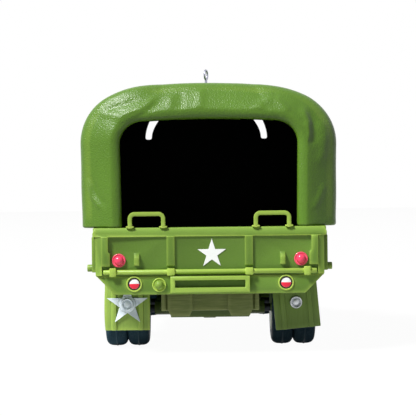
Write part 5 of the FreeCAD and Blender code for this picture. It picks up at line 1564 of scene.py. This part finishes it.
@dataclass
class TailPanel:
    """The rear plate and everything moulded or set on it."""

    shop: Workshop
    sides: int = 48
    loop_bar: float = 0.82
    loop_bend: float = 0.89
    loop_root: float = 0.1
    loop_straight: float = 0.6
    loop_steps: int = 8
    loop_power: float = 5.0
    foot_size: Triple = (1.5, 0.8, 0.3)
    lip_band: Pair = (1.24, 1.5)
    well_band: Pair = (1.03, 1.25)
    well_depth: float = 0.44
    lip_y: float = -58.68
    lamp_radius: float = 0.97
    lamp_rise: float = 0.15
    reflector_rim: float = 0.4
    socket_rim: float = 0.34
    rail_height: float = 1.7
    rail_lean: float = 0.75
    plate_thickness: float = 1.6
    flange_x: float = 21.3
    flange_lean: float = 0.45
    rib_span: Pair = (6.4, 8.6)
    rib_share: float = 0.55
    gate_low: float = 15.0
    rod_radius: float = 0.47
    rod_chamfer: float = 0.12
    rod_end: float = 0.8
    block_edge: float = 0.16
    rod_blocks: tuple[Triple, ...] = ((7.45, 1.5, 0.69), (18.5, 1.25, 0.83))

    def build(self) -> None:
        """Makes the panel, hinge rod, step, loops, lamps, reflectors, socket and star."""
        high = node_box("tail_panel")[1]
        self.rail_top = high.z
        self.plate_y = high.y - self.plate_thickness
        # The rail, flanges and step take the paler olive copy as painted light.
        self.shop.softened("tail_panel", Finish.OLIVE, Slot.OLIVE, 0.16, extra=Finish.OLIVE_PAINTED_LIGHT,
                           extra_test=self.on_rail, shape=self.leaned)
        self.shop.softened("tail_step", Finish.OLIVE_PAINTED_LIGHT, Slot.OLIVE, 0.12)
        self.hinge()
        self.loops()
        self.lamps()
        self.reflectors()
        self.socket()
        self.shop.softened("tail_star", Finish.STAR, Slot.WHITE, 0.03, steps=1)

    def leaned(self, spot: Vector) -> Vector:
        """Leans the gate rail's face in towards its top, sets the flanges in and lowers the gate's ribs.

        Args:
            spot: A point of the CAD panel.

        Returns:
            Where it goes.
        """
        y = spot.y
        across = abs(spot.x)
        rail_low = self.rail_top - self.rail_height
        if y < self.plate_y - 0.2:
            if spot.z > rail_low + 0.2:
                y += self.rail_lean * smooth((spot.z - rail_low) / self.rail_height)
            elif across > self.flange_x:
                y += self.flange_lean
            elif self.rib_span[0] < across < self.rib_span[1] and self.gate_low < spot.z < rail_low + 0.05:
                y = self.plate_y + (y - self.plate_y) * self.rib_share
        return Vector((spot.x, y, spot.z))

    def on_rail(self, spot: Vector, normal: Vector) -> bool:
        """Whether a face is on the gate's rail or on a flange, which take the paler olive copy as painted
        light.
        """
        raised = spot.z > self.rail_top - self.rail_height - 0.1 or abs(spot.x) > self.flange_x - 0.4
        return raised and spot.y < self.plate_y + 0.2

    def hinge(self) -> None:
        """Makes the round rod with its knuckles and end clamps."""
        low, high = node_box("hinge_rod")
        radius, half, face_y = self.rod_radius, high.x, high.y
        z = (low.z + high.z) / 2
        end, chamfer = radius * self.rod_end, self.rod_chamfer
        rod = turned(((-half, 0.0), (-half, end), (chamfer - half, radius), (half - chamfer, radius),
                      (half, end), (half, 0.0)), 32, (0.0, face_y - radius, z), Along.RIGHT)
        parts = [rod]
        for x, width, reach in self.rod_blocks:
            for side in (-1, 1):
                parts.append(rounded_box((side * x - width / 2, low.y, z - reach),
                                         (side * x + width / 2, face_y, z + reach), self.block_edge))
        # The hinge rod takes the paler olive copy as painted light.
        self.shop.piece("hinge_rod_round", gathered(*parts), Finish.OLIVE_PAINTED_LIGHT, Slot.OLIVE,
                        replaces=("hinge_rod",))

    def loops(self) -> None:
        """Makes the two bent grab loops with their feet."""
        for side in ("left", "right"):
            low, high = node_box("grab_loop_" + side)
            w, d, h = self.foot_size
            bend = self.loop_bend
            y = (low.y + high.y) / 2
            x0, x1 = low.x + w / 2, high.x - w / 2
            top = high.z - self.loop_bar / 2
            rise = [(0.0, low.z - self.loop_root), (0.0, low.z + self.loop_straight)]
            for i in range(self.loop_steps + 1):
                angle = math.pi / 2 * i / self.loop_steps
                rise.append((bend * (1 - math.cos(angle)), top - bend * (1 - math.sin(angle))))
            path = [Vector((x0 + reach, y, z)) for reach, z in rise]
            path += [Vector((x1 - reach, y, z)) for reach, z in reversed(rise)]
            bar = swept(path, round_outline(self.loop_bar / 2, 20, self.loop_power), Vector((0.0, 1.0, 0.0)))
            feet = [rounded_box((x - w / 2, y - d / 2, low.z - 0.05), (x + w / 2, y + d / 2, low.z + h), 0.12)
                    for x in (x0, x1)]
            self.shop.piece(f"grab_loop_{side}_bent", gathered(bar, *feet), Finish.OLIVE, Slot.OLIVE,
                            replaces=("grab_loop_" + side,))

    def lamps(self) -> None:
        """Makes the two lamps, their wells in black as painted shade, and the lips round them."""
        low, high = node_box("tail_lamps")
        z = (low.z + high.z) / 2
        x = high.x - (high.z - low.z) / 2
        lamp = dome_profile(self.lamp_radius, high.y - low.y - self.lamp_rise, self.lamp_rise)
        inner, outer = self.well_band
        well = ((0.0, inner), (0.0, outer), (self.well_depth, outer), (self.well_depth, inner))
        inner, outer = self.lip_band
        lip = ((-0.1, inner), (-0.1, outer), (0.2, outer), (0.27, outer - 0.06), (0.29, (inner + outer) / 2),
               (0.27, inner + 0.05), (0.2, inner))
        lamps = turned_pair(lamp, self.sides, (x, high.y, z), Along.BACK)
        wells = turned_pair(well, self.sides, (x, high.y, z), Along.BACK)
        lips = turned_pair(lip, self.sides, (x, self.lip_y, z), Along.BACK)
        self.shop.piece("tail_lamp_lenses", lamps, Finish.LAMP, Slot.RED_LENS, replaces=("tail_lamps",))
        # The wells are black plastic as painted shade in the recess round each lamp.
        self.shop.piece("tail_lamp_painted_shade_wells", wells, Finish.BLACK, Slot.BLACK)
        self.shop.piece("tail_lamp_lips", lips, Finish.OLIVE, Slot.OLIVE)

    def reflectors(self) -> None:
        """Makes the two red reflectors."""
        low, high = node_box("tail_reflectors")
        radius = (high.z - low.z) / 2
        z = (low.z + high.z) / 2
        rim = self.reflector_rim
        profile = rimmed_profile(radius, rim, high.y - low.y - rim, 0.2, 0.16)
        domes = turned_pair(profile, self.sides, (high.x - radius, high.y, z), Along.BACK)
        self.shop.piece("tail_reflector_domes", domes, Finish.REFLECTOR, Slot.RED_LENS,
                        replaces=("tail_reflectors",))

    def socket(self) -> None:
        """Makes the round socket cover on the left."""
        low, high = node_box("socket_cover")
        radius = (high.z - low.z) / 2
        centre = ((low.x + high.x) / 2, high.y, (low.z + high.z) / 2)
        rim = self.socket_rim
        profile = rimmed_profile(radius, rim, high.y - low.y - rim, 0.22, 0.2)
        dome = turned(profile, self.sides, centre, Along.BACK)
        self.shop.piece("socket_cover_dome", dome, Finish.OLIVE, Slot.OLIVE, replaces=("socket_cover",))


@dataclass
class Mudflaps:
    """The two mudflaps with their rivets, and the star on the left one."""

    shop: Workshop
    sides: int = 40
    boss_reach: float = 1.72
    boss_depth: float = 0.28
    right_shift: float = 0.27
    left_trim: float = 0.38
    left_edge: float = -21.0
    rivet_foot: Profile = ((-0.1, 0.0), (-0.1, 1.2))
    rivet_cup: Profile = ((0.16, 1.23), (0.05, 1.17), (0.0, 1.06), (0.06, 0.95), (0.34, 0.88), (0.4, 0.78),
                          (0.3, 0.68), (0.18, 0.52), (0.12, 0.28), (0.1, 0.0))

    def build(self) -> None:
        """Makes flaps, star and rivets."""
        low, high = node_box("flap_rivet_left")
        self.boss = (low + high) / 2
        self.boss_y = high.y
        # The left flap takes the lit copy of the flap plastic as painted light, the right one the shaded copy
        # as painted shade.
        self.shop.softened("mudflap_left", Finish.FLAP_PAINTED_LIGHT, Slot.OLIVE, 0.14, extra=Finish.FLAP_STAR,
                           extra_test=self.on_boss, shape=self.trimmed)
        self.shop.softened("mudflap_right", Finish.FLAP_PAINTED_SHADE, Slot.OLIVE, 0.14, shape=self.shifted)
        self.rivet("left")
        self.rivet("right")
        self.shop.softened("flap_star", Finish.FLAP_STAR, Slot.WHITE, 0.03, steps=1)

    def trimmed(self, spot: Vector) -> Vector:
        """Draws the left flap's outer edge in a little."""
        return spot + Vector((self.left_trim if spot.x < self.left_edge else 0.0, 0.0, 0.0))

    def shifted(self, spot: Vector) -> Vector:
        """Hangs the right flap a little further out."""
        return spot + Vector((self.right_shift, 0.0, 0.0))

    def on_boss(self, spot: Vector, normal: Vector) -> bool:
        """Whether a face is on the painted boss round the left rivet."""
        near = math.hypot(spot.x - self.boss.x, spot.z - self.boss.z) < self.boss_reach
        return near and spot.y < self.boss_y + self.boss_depth and normal.y < 0.5

    def rivet(self, side: str) -> None:
        """Makes a cupped rivet.

        Args:
            side: left or right.
        """
        node = "flap_rivet_" + side
        low, high = node_box(node)
        middle = (low + high) / 2
        depth = high.y - low.y
        profile = list(self.rivet_foot) + [(depth - below, radius) for below, radius in self.rivet_cup]
        across = middle.x + (self.right_shift if side == "right" else 0.0)
        rivet = turned(profile, self.sides, (across, high.y, middle.z), Along.BACK)
        finish = Finish.FLAP_STAR if side == "left" else Finish.RIVET
        self.shop.piece(node + "_cup", rivet, finish, Slot.RIVET, replaces=(node,))


# Bed, frame and running gear

@dataclass
class BedAndFrame:
    """The cargo bed, the frame rails, springs, housings and the crossmember with its lugs."""

    shop: Workshop
    inner_half: float = 20.6
    floor_z: float = 16.9
    front_wall: float = 1.4
    rear_face: float = 1.0
    hold_margin: float = 0.05
    axle_z: float = 7.5
    housing_squash: float = 0.74

    def build(self) -> None:
        """Makes the bed and what carries it."""
        low, high = node_box("bed_tub")
        self.front_y = high.y - self.front_wall
        self.rear_y = low.y
        # The inside of the bed takes near-black painted shade.
        self.shop.softened("bed_tub", Finish.OLIVE, Slot.OLIVE, 0.15, extra=Finish.HOLD,
                           extra_test=self.in_hold)
        self.shop.softened("rear_crossmember", Finish.BROWN, Slot.BROWN, 0.14)
        self.shop.softened("chassis_frame", Finish.DARK_OLIVE, Slot.DARK_OLIVE, 0.14)
        for name in ("front", "mid", "rear"):
            self.shop.softened(name + "_axle_housing", Finish.DARK_OLIVE, Slot.DARK_OLIVE, 0.12,
                               shape=self.squashed)
        for name in ("front_leaf_springs", "rear_leaf_springs"):
            self.shop.softened(name, Finish.DARK_OLIVE, Slot.DARK_OLIVE, 0.12)

    def squashed(self, spot: Vector) -> Vector:
        """Flattens the lower half of an axle housing a little."""
        below = self.axle_z - spot.z
        return Vector((spot.x, spot.y, self.axle_z - below * self.housing_squash)) if below > 0.0 else spot

    def in_hold(self, spot: Vector, normal: Vector) -> bool:
        """Whether a face with this middle and normal looks into the cargo space, where near-black painted shade
        goes.
        """
        inside = abs(spot.x) < self.inner_half + self.hold_margin and spot.y < self.front_y + self.hold_margin
        rear_face = spot.y < self.rear_y + self.rear_face and normal.y < -0.7
        return inside and spot.z > self.floor_z - self.hold_margin and not rear_face


@dataclass
class WheelSet:
    """One axle's tyres, hubs and steel rod."""

    shop: Workshop
    name: str
    body: Body
    twin: bool
    inset: float = 0.0
    trim: float = 0.25
    shifts: Pair = (0.22, 0.0)
    tyre_radius: float = 7.5
    shoulder: float = 2.3
    shoulder_power: float = 3.4
    wall_steps: int = 26
    twin_gap: float = 2.1
    bead: Profile = ((0.35, 0.0), (0.1, 0.25))
    bore: float = 4.6
    ribs: int = 124
    rib_depth: float = 0.2
    rib_cuts: Sequence[float] = (0.0, 0.3, 1.0, 0.3)
    seam_height: float = 0.1
    seam_half: float = 0.14
    hub_sides: int = 60
    single_face: Pair = (1.0, 1.6)
    twin_face: Pair = (2.6, 0.9)
    rod_bore: float = 0.82
    cap_radius: float = 1.3
    bolts: int = 8
    bolt_circle: float = 2.1
    nut: Profile = ((0.0, 0.0), (0.0, 0.3), (0.26, 0.28), (0.32, 0.2), (0.32, 0.0))

    def build(self) -> None:
        """Makes the tyres and hubs on both sides, and dresses the rod."""
        prefix = self.name + ("_twin_tyres" if self.twin else "_tyre")
        low, high = node_box(prefix + "_right")
        low.x += self.inset
        high.x -= self.trim
        self.axle = Vector((0.0, (low.y + high.y) / 2, self.tyre_radius))
        tyre = self.tyre(low.x, high.x)
        hub = self.hub(low.x, high.x)
        for side, shift in zip(("left", "right"), self.shifts):
            points, faces = tyre if side == "right" else mirrored(tyre)
            shape = ([(x + shift, y, z) for x, y, z in points], faces)
            self.shop.piece(f"{prefix}_{side}_treaded", shape, Finish.TYRE, Slot.TYRE, self.body,
                            (f"{prefix}_{side}",))
            shape = hub if side == "right" else mirrored(hub)
            self.shop.piece(f"{self.name}_hub_{side}_dished", shape, Finish.OLIVE, Slot.OLIVE, self.body,
                            (f"{self.name}_hub_{side}",))
        self.shop.softened(self.name + "_axle_rod", Finish.ROD, Slot.WIRE, 0.1, self.body)

    def tyre_profile(self, start: float, end: float) -> list[Triple]:
        """The outline over one tyre's tread.

        Args:
            start: Its inner side's place across.
            end: Its outer side's place across.

        Returns:
            Places across, radii and how much of the ribs shows.
        """
        middle, half = (start + end) / 2, (end - start) / 2
        power = self.shoulder_power
        profile = []
        for i in range(self.wall_steps + 1):
            angle = math.pi * i / self.wall_steps
            c, s = math.cos(angle), math.sin(angle)
            reach = (abs(c) ** power + abs(s) ** power) ** (-1 / power)
            rise = self.shoulder * s * reach
            show = smooth((rise - 1.0) / 0.8)
            profile.append((middle - half * c * reach, self.tyre_radius - self.shoulder + rise, show))
        return profile

    def tyre(self, inner: float, outer: float) -> Shape:
        """Makes one side's tyre or pair of tyres.

        Args:
            inner: Its inner face's place across.
            outer: Its outer face's place across.

        Returns:
            Points and faces.
        """
        outline = [(inner + inset, self.bore + rise, 0.0) for inset, rise in self.bead]
        groove = (inner + outer) / 2
        spans = ((inner, groove), (groove, outer)) if self.twin else ((inner, outer),)
        for index, (start, end) in enumerate(spans):
            outline += self.tyre_profile(start, end)[min(index, 1):]
        outline += [(outer - inset, self.bore + rise, 0.0) for inset, rise in reversed(self.bead)]
        if self.twin:
            shallow = self.tyre_radius - self.twin_gap
            outline = [(x, max(radius, shallow) if abs(x - groove) < 0.2 else radius, show)
                       for x, radius, show in outline]
        sides = self.ribs * len(self.rib_cuts)
        seams = [(start + end) / 2 for start, end in spans]
        points: Points = []
        for x, radius, show in outline:
            seam = sum(math.exp(-(((x - place) / self.seam_half) ** 2)) for place in seams)
            for i in range(sides):
                angle = math.tau * i / sides
                cut = self.rib_cuts[i % len(self.rib_cuts)] * show * (1 - min(1.0, seam))
                reach = radius - self.rib_depth * cut - self.seam_height * (1 - seam) * show
                points.append((x, self.axle.y + reach * math.cos(angle), self.axle.z + reach * math.sin(angle)))
        return points, ring_faces(sides, len(outline), True)

    def hub(self, inner: float, outer: float) -> Shape:
        """Makes the right hub: a rim, a dished face with bolts and a cap.

        Args:
            inner: Its inner face's place across.
            outer: Its outer face's place across.

        Returns:
            Points and faces.
        """
        rim = self.bore - 0.01
        dish, cap = self.twin_face if self.twin else self.single_face
        face = outer - dish
        bore, cap_radius = self.rod_bore, self.cap_radius
        profile = [
            (face - 0.1, 0.0), (face - 0.1, bore), (inner, bore), (inner, rim), (outer - 0.08, rim),
            (outer, rim - 0.08), (outer, rim - 0.42), (outer - 0.12, rim - 0.6),
            (outer - dish * 0.35, rim - 0.82), (face + 0.14, 3.05), (face, 2.8), (face, cap_radius + 0.12),
            (face + 0.1, cap_radius), (face + cap - 0.25, cap_radius),
            (face + cap - 0.06, cap_radius - 0.1), (face + cap, cap_radius - 0.35), (face + cap, 0.0),
        ]
        parts = [turned(profile, self.hub_sides, self.axle, Along.RIGHT)]
        for i in range(self.bolts):
            angle = math.tau * (i + 0.5) / self.bolts
            away = Vector((face - 0.05, self.bolt_circle * math.cos(angle), self.bolt_circle * math.sin(angle)))
            parts.append(turned(self.nut, 6, self.axle + away, Along.RIGHT))
        return gathered(*parts)


# Cab and front end

@dataclass
class Cab:
    """The cab: body, doors, soft top, windshield, seat and steering wheel."""

    shop: Workshop
    roundings: tuple[tuple[str, Finish, Slot, float, int], ...] = (
        ("cab_body", Finish.OLIVE, Slot.OLIVE, 0.3, 3),
        ("cab_door_left", Finish.OLIVE, Slot.OLIVE, 0.12, 2),
        ("cab_door_right", Finish.OLIVE, Slot.OLIVE, 0.12, 2),
        ("cab_top", Finish.CANVAS, Slot.OLIVE, 0.35, 3),
        ("windshield_frame", Finish.OLIVE, Slot.OLIVE, 0.2, 2),
        ("windshield_glass", Finish.GLASS, Slot.GLASS, 0.05, 1),
        ("cab_seat", Finish.BLACK, Slot.BLACK, 0.05, 1),
        ("steering_wheel", Finish.BLACK, Slot.BLACK, 0.1, 2),
    )
    top_skin: float = 1.2
    top_bow: float = 0.0038
    hem_depth: float = 0.9
    hem_lap: float = 0.25
    hem_edge: float = 0.12
    hem_steps: int = 24

    def build(self) -> None:
        """Makes the cab's pieces."""
        for node, finish, slot, radius, steps in self.roundings:
            self.shop.softened(node, finish, slot, radius, steps=steps)
        self.hem()

    def hem(self) -> None:
        """Makes the soft top's front hem, which closes the gap over the windshield."""
        top_high = node_box("cab_top")[1]
        frame_low, frame_high = node_box("windshield_frame")
        rear, front = top_high.y - self.hem_depth, frame_low.y + self.hem_lap
        low = frame_high.z - self.hem_lap * 2
        half = frame_high.x - self.hem_edge
        points: Points = []
        for i in range(self.hem_steps + 1):
            x = half * (i * 2 / self.hem_steps - 1)
            high = top_high.z - self.top_skin + self.hem_edge - self.top_bow * x * x
            points += [(x, rear, low + self.hem_edge), (x, rear + self.hem_edge, low),
                       (x, front - self.hem_edge, low), (x, front, low + self.hem_edge),
                       (x, front, high), (x, rear, high)]
        faces = ring_faces(6, self.hem_steps + 1, False)
        faces.append(tuple(reversed(range(6))))
        faces.append(tuple(range(len(points) - 6, len(points))))
        self.shop.piece("cab_top_hem", (points, faces), Finish.CANVAS, Slot.OLIVE)


@dataclass
class FrontEnd:
    """Hood, fenders, grille, bumper, headlamps, boards, tank, box and exhaust stack."""

    shop: Workshop
    sides: int = 48
    roundings: tuple[tuple[str, float, int], ...] = (
        ("hood", 0.3, 3),
        ("front_fender_left", 0.25, 3), ("running_board_left", 0.15, 2),
        ("front_fender_right", 0.25, 3), ("running_board_right", 0.15, 2),
        ("grille", 0.1, 1), ("front_bumper", 0.25, 3), ("fuel_tank", 0.05, 1), ("battery_box", 0.15, 2),
    )
    muffler_span: Pair = (3.2, 11.8)
    pipe: float = 0.8
    pipe_bore: float = 0.56
    bowl_z: float = 16.0
    bowl_span: Pair = (0.5, 1.02)
    bezel: float = 0.36
    lens_rim: float = 0.98
    lens_rise: float = 0.6

    def build(self) -> None:
        """Makes the front and the side gear."""
        for node, radius, steps in self.roundings:
            self.shop.softened(node, Finish.OLIVE, Slot.OLIVE, radius, steps=steps)
        self.stack()
        self.headlamps()

    def stack(self) -> None:
        """Makes the round exhaust stack with its muffler."""
        low, high = node_box("exhaust_stack")
        x, y = (low.x + high.x) / 2, (low.y + high.y) / 2
        muffler = (high.x - low.x) / 2
        base, top = low.z, high.z
        start, end = base + self.muffler_span[0], base + self.muffler_span[1]
        pipe, bore = self.pipe, self.pipe_bore
        profile = [(base, 0.0), (base, pipe), (start, pipe), (start + 0.2, pipe + 0.3),
                   (start + 0.7, muffler - 0.05), (start + 1.0, muffler), (end - 1.0, muffler),
                   (end - 0.7, muffler - 0.05), (end - 0.2, pipe + 0.3), (end, pipe), (top - 0.06, pipe),
                   (top, pipe - 0.06), (top, bore + 0.06), (top - 0.06, bore), (top - 0.9, bore),
                   (top - 0.9, 0.0)]
        stack = turned(profile, self.sides, (x, y, 0.0), Along.UP)
        self.shop.piece("exhaust_stack_round", stack, Finish.BLACK, Slot.BLACK, replaces=("exhaust_stack",))

    def headlamps(self) -> None:
        """Makes the two headlamps: a housing with a bezel, a bright reflector and a lens."""
        low, high = node_box("headlamps")
        radius = (high.z - low.z) / 2
        z = (low.z + high.z) / 2
        shell = [(-0.3, 0.0), (-0.3, radius), (0.95, radius), (1.08, radius - 0.1), (1.1, radius - 0.24),
                 (1.0, radius - 0.34), (0.8, radius - 0.38), (0.6, 0.9), (0.55, 0.0)]
        clear, rim = radius - self.bezel, self.lens_rim
        lens = [(0.85, 0.0), (0.85, clear), (rim, clear)]
        for i in range(1, 9):
            share = math.cos(math.pi / 2 * i / 8.5)
            lens.append((rim + self.lens_rise * (1 - share ** 2), clear * share))
        lens.append((rim + self.lens_rise, 0.0))
        shells, lenses = (turned_pair(profile, self.sides, (high.x - radius, low.y, z), Along.AHEAD)
                          for profile in (shell, lens))
        self.shop.piece("headlamp_bowls", shells, Finish.OLIVE, Slot.OLIVE,
                        extra=Finish.CHROME, extra_test=lambda spot, normal: self.in_bowl(spot, low.y, radius))
        self.shop.piece("headlamp_lenses", lenses, Finish.LENS, Slot.CLEAR_LENS, replaces=("headlamps",))

    def in_bowl(self, spot: Vector, y: float, radius: float) -> bool:
        """Whether a face is in a headlamp's reflector."""
        start, end = self.bowl_span
        return y + start < spot.y < y + end and abs(spot.z - self.bowl_z) < radius - 0.3


# Studio

@dataclass
class Studio:
    """Pale floor and backdrop, key lamp, world and camera, in metres and degrees."""

    truck_middle: Vector = field(default_factory=lambda: Vector((0.0, 0.0, 0.026)))
    floor_half: float = 4.0
    white: Rgba = (0.92, 0.92, 0.92, 1.0)
    bounce: Rgba = (0.14, 0.14, 0.14, 1.0)
    card: Rgba = (0.85, 0.85, 0.85, 1.0)
    glow: Rgba = (1.0, 1.0, 1.0, 1.0)
    card_place: Triple = (0.0, -0.064, 0.0)
    card_reach: Pair = (0.028, 0.06)
    white_share: float = 0.965
    key_azimuth: float = -49.0
    key_elevation: float = 48.5
    key_distance: float = 3.0
    key_size: float = 0.6
    key_watts: float = 148.0
    sky: float = 0.12
    lens: float = 136.3
    sensor: float = 36.0
    clip: Pair = (0.01, 50.0)
    camera_place: Triple = (-0.0023, -0.3584, 0.02975)
    yaw: float = 0.39
    pitch: float = -0.33
    roll: float = 0.65

    def build(self) -> None:
        """Makes the studio."""
        scene = bpy.context.scene
        scene.view_settings.view_transform = "Standard"
        self.floor()
        self.world(scene)
        self.key_lamp()
        self.camera(scene)

    def seen_rays(self, made: TreeBuilder) -> Socket:
        """Tells what sees a surface.

        Args:
            made: The tree to add the nodes to.

        Returns:
            1 where the camera, a reflection or a clear piece sees it, and 0 where light bounces off it.
        """
        rays = made.node("ShaderNodeLightPath")
        total = rays.outputs["Is Camera Ray"]
        for name in ("Is Glossy Ray", "Is Transmission Ray"):
            total = made.maths("ADD", total, rays.outputs[name], clamp=True)
        return total

    def floor(self) -> None:
        """Makes the pale floor, which keeps a faint shadow."""
        half = self.floor_half
        corners = [(-half, -half, 0.0), (half, -half, 0.0), (half, half, 0.0), (-half, half, 0.0)]
        mesh = bpy.data.meshes.new("studio_floor")
        mesh.from_pydata(corners, [], [(0, 1, 2, 3)])
        floor = linked("studio_floor", mesh)
        made = MaterialBuilder("studio_floor_paper")
        made.set(Roughness=0.9, Specular_IOR_Level=0.1)
        seen = self.seen_rays(made)
        away = made.node("ShaderNodeVectorMath", operation="DISTANCE")
        made.fill(away.inputs[0], made.place())
        made.fill(away.inputs[1], self.card_place)
        near = made.spread(away.outputs["Value"], 0.0, 1.0, *self.card_reach)
        card = made.mix(near, self.card, self.bounce)
        made.feed("Base Color", made.mix(seen, card, self.white))
        glow = made.node("ShaderNodeEmission")
        made.fill(glow.inputs["Color"], self.glow)
        share = made.maths("MULTIPLY", seen, self.white_share)
        mix = made.node("ShaderNodeMixShader")
        for socket, value in zip(mix.inputs, (share, made.shader.outputs[0], glow.outputs[0])):
            made.fill(socket, value)
        made.fill(made.tree.nodes["Material Output"].inputs["Surface"], mix.outputs[0])
        mesh.materials.append(made.material)

    def world(self, scene: bpy.types.Scene) -> None:
        """Lights the object softly from all sides and shows as white."""
        world = bpy.data.worlds.new("studio_world")
        scene.world = world
        world.use_nodes = True
        made = TreeBuilder(world.node_tree)
        background = made.tree.nodes["Background"]
        made.fill(background.inputs["Color"], self.glow)
        made.fill(background.inputs["Strength"], made.spread(self.seen_rays(made), self.sky, 1.0))

    def key_lamp(self) -> None:
        """Hangs the soft key lamp, which faces the truck."""
        data = bpy.data.lights.new("key_lamp", "AREA")
        data.shape = "SQUARE"
        data.size = self.key_size
        data.energy = self.key_watts
        lamp = linked("key_lamp", data)
        a, e = math.radians(self.key_azimuth), math.radians(self.key_elevation)
        away = Vector((math.sin(a) * math.cos(e), -math.cos(a) * math.cos(e), math.sin(e)))
        lamp.location = self.truck_middle + away * self.key_distance
        lamp.rotation_mode = "QUATERNION"
        lamp.rotation_quaternion = (-away).to_track_quat("-Z", "Y")

    def camera(self, scene: bpy.types.Scene) -> None:
        """Stands the camera where the photograph was taken."""
        data = bpy.data.cameras.new("photo_camera")
        data.lens = self.lens
        data.sensor_width = self.sensor
        data.clip_start, data.clip_end = self.clip
        camera = linked("photo_camera", data)
        yaw, pitch = math.radians(self.yaw), math.radians(self.pitch)
        ahead = Vector((math.sin(yaw) * math.cos(pitch), math.cos(yaw) * math.cos(pitch), math.sin(pitch)))
        turn = ahead.to_track_quat("-Z", "Y").to_matrix().to_4x4()
        roll = Matrix.Rotation(math.radians(-self.roll), 4, "Z")
        camera.matrix_world = Matrix.Translation(Vector(self.camera_place)) @ turn @ roll
        scene.camera = camera


def main() -> None:
    """Builds every sub-assembly in order, then the studio."""
    logging.basicConfig(level=logging.INFO, format="%(name)s %(message)s")
    shop = Workshop(PaintShop())
    assemblies = [
        Canopy(shop),
        HangerEyelet(shop),
        TailPanel(shop),
        Mudflaps(shop),
        BedAndFrame(shop),
        WheelSet(shop, "front", Body.FRONT, twin=False, trim=0.0, shifts=(0.0, 0.0)),
        WheelSet(shop, "mid", Body.MID, twin=True, inset=1.3),
        WheelSet(shop, "rear", Body.REAR, twin=True, inset=0.42),
        Cab(shop),
        FrontEnd(shop),
        Studio(),
    ]
    for assembly in assemblies:
        LOG.info("building %s", type(assembly).__name__)
        assembly.build()


if __name__ == "__main__":
    main()
